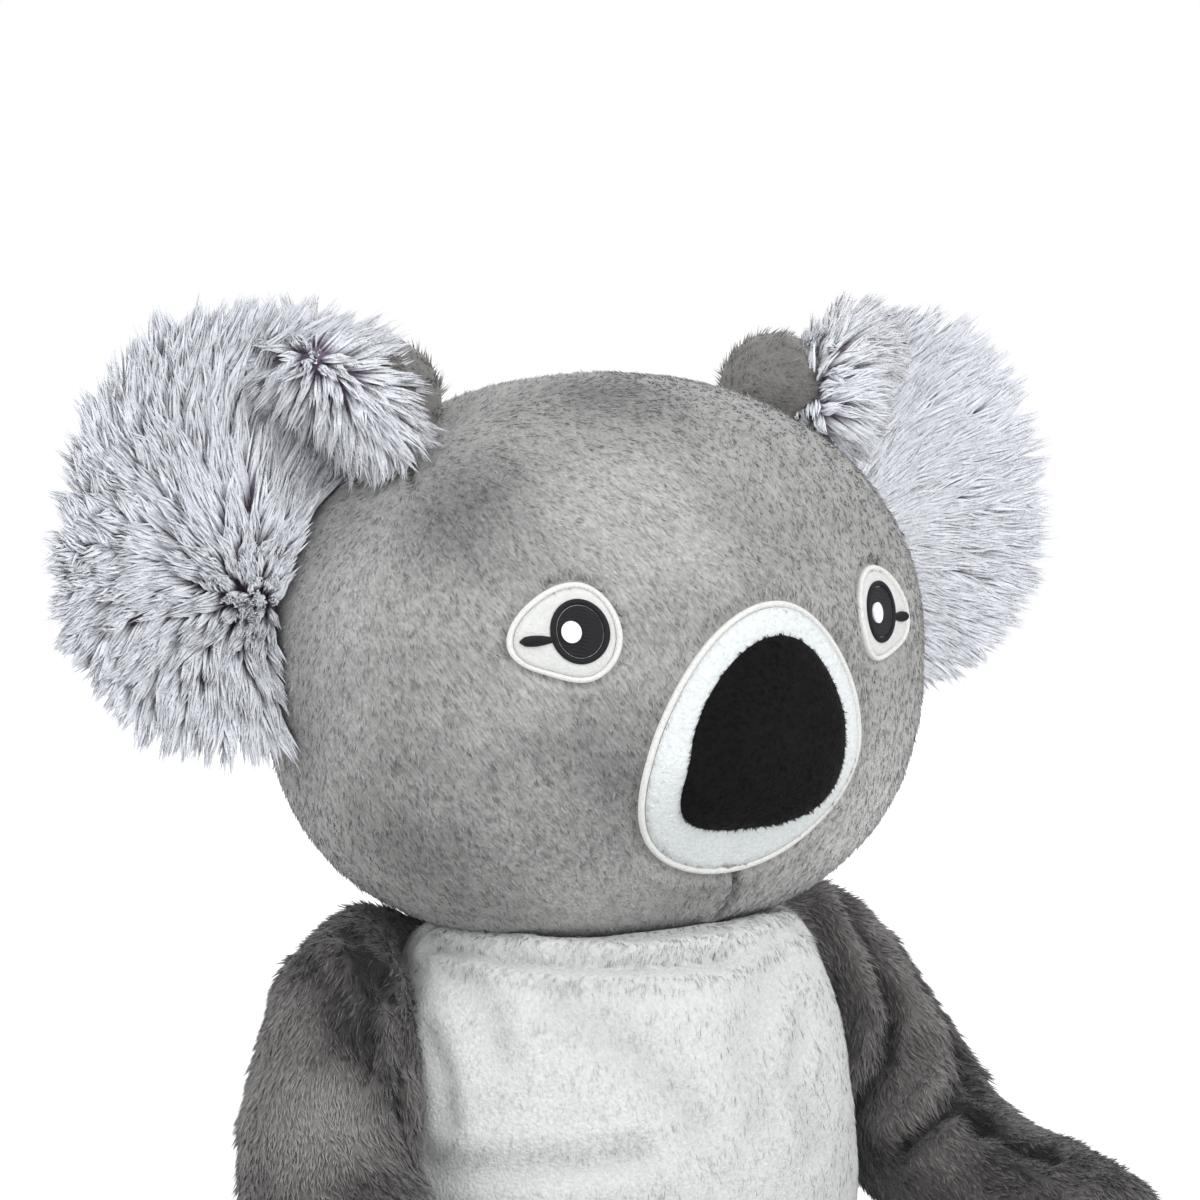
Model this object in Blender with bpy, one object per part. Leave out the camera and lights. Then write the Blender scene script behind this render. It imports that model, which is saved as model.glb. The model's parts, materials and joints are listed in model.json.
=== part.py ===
"""A seated plush koala, in metres, +Z up, facing -Y with its right side at -X.

The origin is the middle of the flat seat that the toy rests on. Fabric skins are shells,
open where the real ones are sewn to each other, with their stuffing as a solid inside.
"""

import math
from collections import namedtuple

import bmesh
import bpy
from mathutils import Vector

# Fit of one piece on another
GAP = 0.0003
SWING_GAP = 0.0005
TURN_GAP = 0.0009
OVERRUN = 0.02
PLUSH = 0.003
SEAT_CUT = 0.0005
PROBE = 0.0005

# Torso: its widest level above the seat, and its half sizes there
TORSO_HALF_WIDTH = 0.095
TORSO_FRONT = 0.078
TORSO_BACK = 0.064
TORSO_WIDEST_HEIGHT = 0.045
NECK_HEIGHT = 0.1865
NECK_RISE = 0.0255
PANEL_EDGE_AT_NECK = -0.002
PANEL_EDGE_AT_SEAT = -0.045

# Bag of pellets in the seat
BAG_HALF_WIDTH = 0.046
BAG_HALF_DEPTH = 0.032
BAG_HEIGHT = 0.036
BAG_BACKSET = 0.014

# Head, from its own centre
HEAD_HALF_WIDTH = 0.123
HEAD_FRONT = 0.087
HEAD_BACK = 0.088
HEAD_HALF_HEIGHT = 0.0985
NECK_HOLE_RADIUS = 0.04

# Muzzle: how far the face swells forward round it, and how wide
MUZZLE_SWELL = 0.0105
MUZZLE_SWELL_HALF_WIDTH = 0.048
MUZZLE_SWELL_UP = 0.062
MUZZLE_SWELL_DOWN = 0.052
MUZZLE_SWELL_FADE = 0.040
BRIDGE_SWELL = 0.005
BRIDGE_HALF_WIDTH = 0.026
BRIDGE_HALF_HEIGHT = 0.030
BRIDGE_LEVEL = 0.038

# Muzzle patch, its stitched edging and the nose, on the face
MUZZLE_LEVEL = -0.022
MUZZLE_HALF_WIDTH = 0.0415
MUZZLE_UP = 0.046
MUZZLE_DOWN = 0.0435
PATCH_THICKNESS = 0.0016
EDGING_WIDTH = 0.002
EDGING_THICKNESS = 0.0019
NOSE_LEVEL = -0.018
NOSE_HALF_WIDTH = 0.031
NOSE_UP = 0.033
NOSE_DOWN = 0.031
NOSE_THICKNESS = 0.0072

# Eyes, from the middle of the face and from the head's centre level
EYE_SPREAD = 0.061
EYE_LEVEL = 0.0156
EYE_RADIUS = 0.0152
EYE_CORNER_REACH = 0.007
EYE_CORNER_DROP = 0.003
PUPIL_RADIUS = 0.0106
THREAD_THICKNESS = 0.0008
HIGHLIGHT_RADIUS = 0.0036
HIGHLIGHT_SHIFT = 0.0033
LASH_HALF_LENGTH = 0.0038
LASH_HALF_THICKNESS = 0.0009
LASH_DROP = 0.0036

# Ears, from the head's centre
EAR_SPREAD = 0.138
EAR_BACKSET = 0.024
EAR_LEVEL = 0.050
EAR_HALF_WIDTH = 0.062
EAR_HALF_HEIGHT = 0.067
EAR_CUP = 0.009
EAR_FUR_THICKNESS = 0.017
EAR_FUR_OVERHANG = 0.008

# Arms: the ball of filling in the armhole, then the stations of the sleeve
SHOULDER_INSET = 0.023
SHOULDER_BACKSET = 0.004
SHOULDER_CLEARANCE = 0.0015
ARM_ROOT_RADIUS = 0.027
ARM_CREST_REACH = 0.033
ARM_LENGTH = 0.150
ARM_RADIUS = 0.030
ARM_STAND_OFF = 0.0015
HAND_LENGTH = 0.026
PAW_OUTSET = 0.012

# Legs: the ball of filling in the hip seam, then the stations of the leg
HIP_SPREAD = 0.050
HIP_SINK = 0.009
LEG_ROOT_RADIUS = 0.033
LEG_RADIUS = 0.0345
LEG_LENGTH = 0.084
LEG_SPLAY = 0.014
FOOT_HALF_HEIGHT = 0.042
FOOT_LENGTH = 0.026
LEG_SWING = math.radians(20)

# Claws
CLAW_RADIUS = 0.0062
CLAW_LENGTH = 0.024
CLAW_SPACING = math.radians(34)

# Shapes: powers of the rounded forms, and places as shares of the named sizes
SECTION_POWER = 2.2
HEAD_UPPER_POWER = 2.15
HEAD_LOWER_POWER = 2.6
TORSO_UPPER_POWER = 2.6
TORSO_LOWER_POWER = 3.0
BAG_POWER = 2.4
NOSE_LOWER_POWER = 3.0
SWELL_POWER = 3.0
SWELL_EDGE_POWER = 12.0
CORE_SWELL_SHARE = 0.5
SETTLE_SHARE = 0.5
FADE_LEVEL_SHARE = -1.2
EGG_TAPER_SHARE = 0.2
EYE_CORNER_POWER = 4
EAR_RING_SHARES = (0.0, 0.4, 0.7, 0.9, 1.0)
EAR_RIM_SHARE = 0.25
EAR_RIM_POWER = 4
LIMB_TIP_SHARES = (0.5, 0.85)
CLAW_START_SHARE = 0.72
CLAW_TIP_SHARE = 0.3

# Rows along the arm: outward, forward, drop, radius; outward as a share of the crest's
# reach and then of the hand's outset, the others of the arm's length and radius
ARM_ROW_SHARES = (
    (0.0, 0.00, 0.000, 0.90),
    (0.32, 0.00, 0.000, 0.81),
    (0.53, 0.00, 0.000, 0.75),
    (1.0, 0.00, 0.015, 0.95),
    (0.0, 0.02, 0.127, 0.96),
    (0.0, 0.06, 0.253, 1.00),
    (0.0, 0.147, 0.373, 1.00),
    (0.2, 0.28, 0.467, 0.98),
    (0.6, 0.44, 0.523, 0.95),
    (1.0, 0.593, 0.550, 0.97),
    (1.1, 0.74, 0.567, 0.86),
)
# How far each row of the arm's crest leans down, as a share of a right angle
CREST_LEAN_SHARES = (0.0, 0.0, 0.11, 0.39)
# Rows along the leg: forward, splay and foot, as shares of the leg's sizes
LEG_ROW_SHARES = (
    (0.0, 0.0, 0.0, 0.957),
    (0.16, 0.1, 0.0, 0.90),
    (0.36, 0.3, 0.0, 1.00),
    (0.62, 0.6, 0.3, 1.00),
    (0.84, 0.85, 0.8, 1.00),
    (1.0, 1.0, 1.0, 0.90),
)
CLAW_ROW_SHARES = ((0.0, 0.95), (0.45, 0.95), (0.75, 0.7), (0.95, 0.32))
CLAW_CURL_SHARE = 0.18
FLAT_PROFILE_SHARES = (
    (0.0, 1.0),
    (0.45, 1.0),
    (0.9, 1.0),
    (1.0, 0.4),
    (1.0, -0.8),
    (0.5, -0.8),
    (0.0, -0.8),
)
PUFFED_PROFILE_SHARES = (
    (0.0, 1.0),
    (0.4, 0.96),
    (0.7, 0.82),
    (0.9, 0.55),
    (1.0, 0.1),
    (0.99, 0.0),
    (0.5, 0.0),
    (0.0, 0.0),
)

# Steps round and along the forms
HEAD_STEPS = (32, 17)
CORE_STEPS = (18, 10)
TORSO_STEPS = (26, 15)
ENVELOPE_STEPS = (32, 20)
LIMB_STEPS = 14
ROOT_STEPS = 4
BALL_STEPS = (16, 10)
PATCH_STEPS = 22
SMALL_PATCH_STEPS = 14
EAR_STEPS = 26
CLAW_STEPS = 8

Egg = namedtuple("Egg", "width front back up down section upper lower")
Row = namedtuple("Row", "centre across high ahead", defaults=(None,))

HEAD = Egg(
    HEAD_HALF_WIDTH,
    HEAD_FRONT,
    HEAD_BACK,
    HEAD_HALF_HEIGHT,
    HEAD_HALF_HEIGHT,
    SECTION_POWER,
    HEAD_UPPER_POWER,
    HEAD_LOWER_POWER,
)
TURNING_HEAD = HEAD._replace(front=HEAD_HALF_WIDTH, back=HEAD_HALF_WIDTH, section=2)
TORSO = Egg(
    TORSO_HALF_WIDTH,
    TORSO_FRONT,
    TORSO_BACK,
    NECK_HEIGHT + NECK_RISE - TORSO_WIDEST_HEIGHT,
    TORSO_WIDEST_HEIGHT + SEAT_CUT,
    SECTION_POWER,
    TORSO_UPPER_POWER,
    TORSO_LOWER_POWER,
)
BAG = Egg(
    BAG_HALF_WIDTH,
    BAG_HALF_DEPTH,
    BAG_HALF_DEPTH,
    BAG_HEIGHT / 2,
    BAG_HEIGHT / 2,
    2,
    BAG_POWER,
    BAG_POWER,
)
HEAD_CENTRE = Vector((0, 0, NECK_HEIGHT + HEAD_HALF_HEIGHT))
TORSO_CENTRE = Vector((0, 0, TORSO_WIDEST_HEIGHT))
BAG_CENTRE = Vector((0, BAG_BACKSET, PLUSH + GAP + BAG_HEIGHT / 2))
NECK = Vector((0, 0, NECK_HEIGHT))
UP = Vector((0, 0, 1))


def smooth_step(share):
    share = min(1, max(0, share))
    return share * share * (3 - 2 * share)


# Rounded forms


def egg_half(egg, z):
    if z > 0:
        return egg.up, egg.upper
    return egg.down, egg.lower


def egg_level(egg, z):
    """The form's size at height z from its centre, as a share of its widest."""
    half, power = egg_half(egg, z)
    return max(0, 1 - (abs(z) / half) ** power) ** (1 / power)


def egg_front(egg, x, z):
    """How far forward of its centre the form reaches at x, z."""
    level = egg_level(egg, z)
    across = abs(x) / max(egg.width * level, PROBE)
    return egg.front * level * max(0, 1 - across**egg.section) ** (1 / egg.section)


def egg_point(egg, way, grow):
    depth = egg.front if way.y < 0 else egg.back
    half, power = egg_half(egg, way.z)
    across = (abs(way.x) / (egg.width + grow)) ** egg.section
    across += (abs(way.y) / (depth + grow)) ** egg.section
    reach = across ** (power / egg.section) + (abs(way.z) / (half + grow)) ** power
    return way * reach ** (-1 / power)


def ways(steps):
    """Rings of directions from straight down to straight up."""
    around, up = steps
    rings = [[Vector((0, 0, -1))]]
    for i in range(1, up):
        tilt = math.pi * (i / up - 0.5)
        rings.append(
            [
                Vector((math.cos(tilt) * math.sin(turn), -math.cos(tilt) * math.cos(turn), math.sin(tilt)))
                for turn in (2 * math.pi * k / around for k in range(around))
            ]
        )
    return rings + [[Vector((0, 0, 1))]]


def egg_rings(egg, centre, grow, steps):
    return [[centre + egg_point(egg, way, grow) for way in ring] for ring in ways(steps)]


# The face


def muzzle_swell(x, z):
    """How far the muzzle and the bridge of the nose stand out of the head's egg."""
    tall = MUZZLE_SWELL_UP if z > MUZZLE_LEVEL else MUZZLE_SWELL_DOWN
    out = (abs(x) / MUZZLE_SWELL_HALF_WIDTH) ** SWELL_POWER
    out += (abs(z - MUZZLE_LEVEL) / tall) ** SWELL_POWER
    puff = MUZZLE_SWELL / (1 + out ** (SWELL_EDGE_POWER / SWELL_POWER))
    puff *= smooth_step((z - FADE_LEVEL_SHARE * MUZZLE_SWELL_DOWN) / MUZZLE_SWELL_FADE)
    across = x / BRIDGE_HALF_WIDTH
    along = (z - BRIDGE_LEVEL) / BRIDGE_HALF_HEIGHT
    return puff + BRIDGE_SWELL * math.exp(-across * across - along * along)


def swollen(base, x, z, share):
    return base + share * smooth_step(base / (SETTLE_SHARE * HEAD_FRONT)) * muzzle_swell(x, z)


def face_depth(x, z):
    return swollen(egg_front(HEAD, x, z), x, z, 1)


def on_face(x, z, lift):
    """A point over the face, given from the head's centre, lifted square to the fabric."""
    slope_x = (face_depth(x + PROBE, z) - face_depth(x - PROBE, z)) / (2 * PROBE)
    slope_z = (face_depth(x, z + PROBE) - face_depth(x, z - PROBE)) / (2 * PROBE)
    out = Vector((-slope_x, -1, -slope_z)).normalized()
    return HEAD_CENTRE + Vector((x, -face_depth(x, z), z)) + out * lift


def head_rings(grow, share, steps):
    rings = egg_rings(HEAD, Vector(), grow, steps)
    for ring in rings:
        for point in ring:
            if point.y < 0:
                point.y = -swollen(-point.y, point.x, point.z, share)
            point += HEAD_CENTRE
    return rings


# Places that one piece takes from another


def torso_side(z):
    """Half the torso's width at height z above the seat."""
    return TORSO_HALF_WIDTH * egg_level(TORSO, z - TORSO_WIDEST_HEIGHT)


def swept_side(drop, shoulder_height):
    """The torso's half width that an arm meets at this distance from its shoulder."""
    low = max(shoulder_height - drop, TORSO_WIDEST_HEIGHT)
    return torso_side(low)


def shoulder():
    x = TORSO_HALF_WIDTH - SHOULDER_INSET
    underside = HEAD_CENTRE.z - HEAD_HALF_HEIGHT * egg_level_under(x)
    return Vector((x, SHOULDER_BACKSET, underside - SHOULDER_CLEARANCE - ARM_ROOT_RADIUS))


def egg_level_under(x):
    """Height of the turning head's underside at x, as a share of its half height."""
    return (1 - (x / HEAD_HALF_WIDTH) ** HEAD_LOWER_POWER) ** (1 / HEAD_LOWER_POWER)


def standing(half_height):
    """Height of a limb's middle whose lowest facet is cut flat by the seat's plane."""
    return half_height * math.cos(math.pi / LIMB_STEPS) - SEAT_CUT


def hip():
    z = standing(LEG_RADIUS)
    front = egg_front(TORSO, HIP_SPREAD, z - TORSO_WIDEST_HEIGHT)
    return Vector((HIP_SPREAD, HIP_SINK - front, z))


def arm_rows():
    root = shoulder()
    rows = []
    for i, (outward, forward, drop, radius) in enumerate(ARM_ROW_SHARES):
        radius *= ARM_RADIUS
        y = root.y - forward * ARM_LENGTH
        z = root.z - drop * ARM_LENGTH
        if i < len(CREST_LEAN_SHARES):
            x = root.x + outward * ARM_CREST_REACH
            lean = CREST_LEAN_SHARES[i] * math.pi / 2
            ahead = Vector((math.cos(lean), 0, -math.sin(lean)))
        else:
            reach = math.hypot(root.y - y, root.z - z)
            x = swept_side(reach, root.z) + ARM_STAND_OFF + radius + outward * PAW_OUTSET
            ahead = None
        rows.append(Row(Vector((x, y, z)), radius, radius, ahead))
    return rows


def leg_rows():
    root = hip()
    rows = []
    for forward, splay, foot, radius in LEG_ROW_SHARES:
        high = radius * (LEG_RADIUS + foot * (FOOT_HALF_HEIGHT - LEG_RADIUS))
        rise = root.z if foot == 0 else standing(high)
        centre = Vector((root.x + splay * LEG_SPLAY, root.y - forward * LEG_LENGTH, rise))
        rows.append(Row(centre, radius * LEG_RADIUS, high))
    return rows


# Tubes


def ring_round(row, side, up, inset, around):
    """A ring with a flat facet at its lowest side."""
    turns = (2 * math.pi * (k + 0.5) / around for k in range(around))
    across, high = row.across - inset, row.high - inset
    return [row.centre + side * (across * math.cos(t)) + up * (high * math.sin(t)) for t in turns]


def tube_rings(rows, up, inset, root, tip, around):
    """Rings of a limb from root to tip. root is the list of (way back, radius) behind the
    first row, and tip is the length of the rounded end."""
    rings = []
    last = len(rows) - 1
    for i, row in enumerate(rows):
        ahead = row.ahead
        if ahead is None:
            ahead = (rows[min(i + 1, last)].centre - rows[max(i - 1, 0)].centre).normalized()
        up = (up - ahead * up.dot(ahead)).normalized()
        side = ahead.cross(up)
        if i == 0:
            for back, radius in root:
                middle = row.centre - ahead * back
                here = Row(middle, radius, radius)
                rings.append([middle] if radius == 0 else ring_round(here, side, up, 0, around))
        rings.append(ring_round(row, side, up, inset, around))
        if i == last:
            for share in LIMB_TIP_SHARES:
                shrink = math.sqrt(1 - share * share)
                middle = row.centre + ahead * (share * (tip - inset))
                here = Row(middle, (row.across - inset) * shrink, (row.high - inset) * shrink)
                rings.append(ring_round(here, side, up, 0, around))
            rings.append([row.centre + ahead * (tip - inset)])
    return rings


def ball_root(radius, inset):
    """The rounded end of a limb's filling in its seam, never wider than its sleeve."""
    back = [(radius, 0)]
    for k in range(1, ROOT_STEPS):
        turn = math.pi / 2 * k / ROOT_STEPS
        back.append((radius * math.cos(turn), min(radius * math.sin(turn), radius - inset)))
    return back


def open_root(radius, inset):
    return [(radius + OVERRUN, 0), (radius + OVERRUN, radius - inset)]


# Building objects


def make_material(name, colour, roughness):
    material = bpy.data.materials.new(name)
    material.use_nodes = True
    shader = material.node_tree.nodes["Principled BSDF"]
    shader.inputs["Base Color"].default_value = (*colour, 1)
    shader.inputs["Roughness"].default_value = roughness
    shader.inputs["Metallic"].default_value = 0
    return material


def add_rings(mesh, rings, closed):
    """Faces between rings of points, and over the first and last ring unless they join."""
    levels = [[mesh.verts.new(point) for point in ring] for ring in rings]
    pairs = list(zip(levels, levels[1:]))
    if closed:
        pairs.append((levels[-1], levels[0]))
    else:
        for end in (levels[0], levels[-1]):
            if len(end) > 1:
                mesh.faces.new(end)
    for low, high in pairs:
        count = max(len(low), len(high))
        for k in range(count):
            after = (k + 1) % count
            if len(low) == 1:
                mesh.faces.new((low[0], high[after], high[k]))
            elif len(high) == 1:
                mesh.faces.new((low[k], low[after], high[0]))
            else:
                mesh.faces.new((low[k], low[after], high[after], high[k]))


def make_object(name, rings, material=None, carrier=None, closed=False):
    """An object from rings of points in world places, carried by an empty if given."""
    mesh = bmesh.new()
    add_rings(mesh, rings, closed)
    bmesh.ops.recalc_face_normals(mesh, faces=mesh.faces)
    bmesh.ops.triangulate(mesh, faces=mesh.faces, quad_method="FIXED")
    data = bpy.data.meshes.new(name)
    obj = bpy.data.objects.new(name, data)
    bpy.context.scene.collection.objects.link(obj)
    if carrier:
        bmesh.ops.translate(mesh, vec=-carrier.location, verts=mesh.verts)
        obj.parent = carrier
    mesh.to_mesh(data)
    mesh.free()
    data.shade_smooth()
    if material:
        data.materials.append(material)
    else:
        obj.hide_render = True
        obj.display_type = "WIRE"
    return obj


def make_carrier(name, place):
    carrier = bpy.data.objects.new(name, None)
    carrier.location = place
    bpy.context.scene.collection.objects.link(carrier)
    return carrier


def carve(obj, *cutters, operation="DIFFERENCE"):
    for cutter in cutters:
        modifier = obj.modifiers.new(cutter.name, "BOOLEAN")
        modifier.operation = operation
        modifier.object = cutter
    return obj


def block_rings(corners, rise):
    """A block between corners and the same corners moved by rise."""
    low = [Vector(corner) for corner in corners]
    return [low, [corner + rise for corner in low]]


def socket_rings(centre, radius):
    """A ball whose flat facets all stay outside this radius."""
    reach = radius / math.cos(math.pi / BALL_STEPS[0]) / math.cos(math.pi / BALL_STEPS[0])
    return [[centre + way * reach for way in ring] for ring in ways(BALL_STEPS)]


def mirrored(rings, side):
    return [[Vector((side * p.x, p.y, p.z)) for p in ring] for ring in rings]


def settled(rings):
    """The rings with whatever is lower than the seat's plane pressed flat on it."""
    return [[Vector((p.x, p.y, max(p.z, 0))) for p in ring] for ring in rings]


# Cutters that several pieces share


def floor_cutter():
    wide = EAR_SPREAD + EAR_HALF_WIDTH
    corners = [(x * wide, y * wide, -OVERRUN) for x, y in ((-1, -1), (1, -1), (1, 1), (-1, 1))]
    return make_object("floor_cutter", block_rings(corners, Vector((0, 0, OVERRUN))))


def neck_cutter():
    rings = egg_rings(TURNING_HEAD, HEAD_CENTRE, TURN_GAP, ENVELOPE_STEPS)
    return make_object("neck_cutter", rings)


def front_cutter(name, grow):
    """The space in front of the side seams, which lean forward from neck to seat."""
    top = NECK_HEIGHT + NECK_RISE + OVERRUN
    lean = (PANEL_EDGE_AT_NECK - PANEL_EDGE_AT_SEAT) / NECK_HEIGHT
    low_edge = PANEL_EDGE_AT_SEAT - lean * OVERRUN + grow
    high_edge = PANEL_EDGE_AT_SEAT + lean * top + grow
    wide = TORSO_HALF_WIDTH + OVERRUN
    ahead = -TORSO_FRONT - OVERRUN
    side = [
        Vector((-wide, low_edge, -OVERRUN)),
        Vector((-wide, high_edge, top)),
        Vector((-wide, ahead, top)),
        Vector((-wide, ahead, -OVERRUN)),
    ]
    return make_object(name, block_rings(side, Vector((2 * wide, 0, 0))))


def leg_room_rings():
    """The room in front of a hip that the leg sweeps as it swings."""
    rows = []
    for row in leg_rows():
        ahead = hip().y - row.centre.y
        high = (LEG_RADIUS + SWING_GAP) / math.cos(LEG_SWING) + ahead * math.tan(LEG_SWING)
        centre = Vector((row.centre.x, row.centre.y, hip().z))
        rows.append(Row(centre, LEG_RADIUS + SWING_GAP, high))
    return tube_rings(rows, UP, 0, [(0, 0)], FOOT_LENGTH, LIMB_STEPS)


def joint_cutters():
    cutters = []
    for word, side in (("right", -1), ("left", 1)):
        ball = socket_rings(shoulder(), ARM_ROOT_RADIUS + GAP)
        cutters.append(make_object(f"{word}_shoulder_cutter", mirrored(ball, side)))
        ball = socket_rings(hip(), LEG_ROOT_RADIUS + GAP)
        cutters.append(make_object(f"{word}_hip_cutter", mirrored(ball, side)))
        room = make_object(f"{word}_leg_room", mirrored(leg_room_rings(), side))
        cutters.append(room)
    return cutters


# Torso


def make_torso(looks):
    joints = joint_cutters()
    neck = neck_cutter()
    floor = floor_cutter()
    inside = make_object("torso_inside", egg_rings(TORSO, TORSO_CENTRE, -PLUSH, CORE_STEPS))
    core = -PLUSH - GAP
    core_cutter = make_object("torso_core", egg_rings(TORSO, TORSO_CENTRE, core, CORE_STEPS))
    bag_room = make_object("bag_room", egg_rings(BAG, BAG_CENTRE, GAP, CORE_STEPS))
    front = front_cutter("panel_front", 0)
    front_and_gap = front_cutter("panel_front_and_gap", GAP)
    skin = egg_rings(TORSO, TORSO_CENTRE, 0, TORSO_STEPS)
    back = make_object("body_back_skin", skin, looks["grey"])
    carve(back, inside, neck, floor, *joints, front_and_gap)
    panel = make_object("belly_panel", skin, looks["pale"])
    carve(panel, inside, neck, floor, *joints)
    carve(panel, front, operation="INTERSECT")
    filling = make_object(
        "body_stuffing", egg_rings(TORSO, TORSO_CENTRE, core, CORE_STEPS), looks["filling"]
    )
    carve(filling, neck, *joints, bag_room)
    bag = make_object(
        "seat_pellet_bag", egg_rings(BAG, BAG_CENTRE, 0, CORE_STEPS), looks["bag"]
    )
    carve(bag, core_cutter, operation="INTERSECT")


# Head


def make_head(looks, carrier):
    inside = make_object("head_inside", head_rings(-PLUSH, CORE_SWELL_SHARE, CORE_STEPS))
    low = HEAD_CENTRE.z - HEAD_HALF_HEIGHT - OVERRUN
    turns = [2 * math.pi * k / PATCH_STEPS for k in range(PATCH_STEPS)]
    circle = [
        (NECK_HOLE_RADIUS * math.cos(turn), NECK_HOLE_RADIUS * math.sin(turn), low)
        for turn in turns
    ]
    rise = Vector((0, 0, OVERRUN + HEAD_HALF_HEIGHT / 2))
    hole = make_object("neck_hole", block_rings(circle, rise))
    skin = make_object("head_skin", head_rings(0, 1, HEAD_STEPS), looks["mid"], carrier)
    carve(skin, inside, hole)
    core = head_rings(-PLUSH - GAP, CORE_SWELL_SHARE, CORE_STEPS)
    make_object("head_stuffing", core, looks["filling"], carrier)
    return make_object("head_and_gap", head_rings(GAP, 1, HEAD_STEPS))


def patch_rings(centre, outline, profile_shares, lift, thickness):
    """Rings of an applique over the face, from its middle out, round its rim and back."""
    x, z = centre
    rings = []
    for share, high_share in profile_shares:
        height = lift + high_share * thickness
        if share == 0:
            rings.append([on_face(x, z, height)])
        else:
            rings.append([on_face(x + share * u, z + share * v, height) for u, v in outline])
    return rings


def edging_rings(centre, outline):
    """A band round an outline: a closed loop of four rings."""
    x, z = centre
    wide = GAP + EDGING_WIDTH
    low, high = GAP - PATCH_THICKNESS, EDGING_THICKNESS
    rings = []
    for out, lift in ((GAP, low), (GAP, high), (wide, high), (wide, low)):
        ring = []
        for u, v in outline:
            away = (math.hypot(u, v) + out) / math.hypot(u, v)
            ring.append(on_face(x + u * away, z + v * away, lift))
        rings.append(ring)
    return rings


def egg_outline(half_width, up, down, lower_power, steps):
    """An egg, narrower above, whose lower half is as square as its power says."""
    outline = []
    for k in range(steps):
        turn = 2 * math.pi * k / steps
        across, rise = math.cos(turn), math.sin(turn)
        power = 1 if rise > 0 else 2 / lower_power
        x = half_width * math.copysign(abs(across) ** power, across)
        z = (up if rise > 0 else down) * math.copysign(abs(rise) ** power, rise)
        outline.append((x * (1 - EGG_TAPER_SHARE * rise), z))
    return outline


def eye_outline(side):
    """A round with a soft corner at the eye's outer side."""
    outline = []
    for k in range(PATCH_STEPS):
        turn = 2 * math.pi * k / PATCH_STEPS
        corner = max(0, math.cos(turn)) ** EYE_CORNER_POWER
        reach = EYE_RADIUS + EYE_CORNER_REACH * corner
        x = side * reach * math.cos(turn)
        outline.append((x, reach * math.sin(turn) - EYE_CORNER_DROP * corner))
    return outline


def round_outline(across, high, steps):
    turns = (2 * math.pi * k / steps for k in range(steps))
    return [(across * math.cos(turn), high * math.sin(turn)) for turn in turns]


def make_muzzle(looks, carrier, head_cutter):
    centre = (0, MUZZLE_LEVEL)
    outline = egg_outline(MUZZLE_HALF_WIDTH, MUZZLE_UP, MUZZLE_DOWN, 2, PATCH_STEPS)
    rings = patch_rings(centre, outline, FLAT_PROFILE_SHARES, GAP, PATCH_THICKNESS)
    patch = make_object("muzzle_patch", rings, looks["muzzle"], carrier)
    carve(patch, head_cutter)
    edging = make_object(
        "muzzle_edging", edging_rings(centre, outline), looks["thread"], carrier, True
    )
    carve(edging, head_cutter)
    rings = patch_rings(centre, outline, FLAT_PROFILE_SHARES, 2 * GAP, PATCH_THICKNESS)
    patch_cutter = make_object("patch_and_gap", rings)
    nose = egg_outline(NOSE_HALF_WIDTH, NOSE_UP, NOSE_DOWN, NOSE_LOWER_POWER, PATCH_STEPS)
    rings = patch_rings((0, NOSE_LEVEL), nose, PUFFED_PROFILE_SHARES, GAP, NOSE_THICKNESS)
    carve(make_object("nose", rings, looks["black"], carrier), patch_cutter)


def make_eye(word, side, looks, carrier, head_cutter):
    middle = (side * EYE_SPREAD, EYE_LEVEL)
    outline = eye_outline(side)
    rings = patch_rings(middle, outline, FLAT_PROFILE_SHARES, GAP, PATCH_THICKNESS)
    white = make_object(f"{word}_eye_white", rings, looks["white"], carrier)
    carve(white, head_cutter)
    edging = make_object(
        f"{word}_eye_edging", edging_rings(middle, outline), looks["thread"], carrier, True
    )
    carve(edging, head_cutter)
    lift = PATCH_THICKNESS + 2 * GAP
    flat = [(share, max(high, 0)) for share, high in FLAT_PROFILE_SHARES]
    disc = round_outline(PUPIL_RADIUS, PUPIL_RADIUS, SMALL_PATCH_STEPS)
    rings = patch_rings(middle, disc, flat, lift, THREAD_THICKNESS)
    make_object(f"{word}_eye_pupil", rings, looks["black"], carrier)
    bar = round_outline(LASH_HALF_LENGTH, LASH_HALF_THICKNESS, SMALL_PATCH_STEPS)
    away = PUPIL_RADIUS + LASH_HALF_LENGTH + GAP
    place = (middle[0] + side * away, middle[1] - LASH_DROP)
    make_object(
        f"{word}_eye_lash",
        patch_rings(place, bar, flat, lift, THREAD_THICKNESS),
        looks["black"],
        carrier,
    )
    dot = round_outline(HIGHLIGHT_RADIUS, HIGHLIGHT_RADIUS, SMALL_PATCH_STEPS)
    place = (middle[0] - HIGHLIGHT_SHIFT, middle[1])
    rings = patch_rings(place, dot, flat, lift + THREAD_THICKNESS + GAP, THREAD_THICKNESS)
    make_object(f"{word}_eye_highlight", rings, looks["white"], carrier)


def ear_rings(near, far, shrink):
    """A cupped pad between two depths, given at its middle, that thins to its rim."""
    middle = Vector((EAR_SPREAD, EAR_BACKSET, EAR_LEVEL)) + HEAD_CENTRE
    half_way = (near + far) / 2
    faces = [(share, near) for share in EAR_RING_SHARES]
    faces += [(share, far) for share in reversed(EAR_RING_SHARES)]
    rings = []
    for share, depth in faces:
        thick = max(1 - share**EAR_RIM_POWER, EAR_RIM_SHARE)
        y = half_way + (depth - half_way) * thick - EAR_CUP * share * share
        ring = []
        for k in range(1 if share == 0 else EAR_STEPS):
            turn = 2 * math.pi * k / EAR_STEPS
            x = share * (EAR_HALF_WIDTH - shrink) * math.cos(turn)
            z = share * (EAR_HALF_HEIGHT - shrink) * math.sin(turn)
            ring.append(middle + Vector((x, y, z)))
        rings.append(ring)
    return rings


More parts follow.
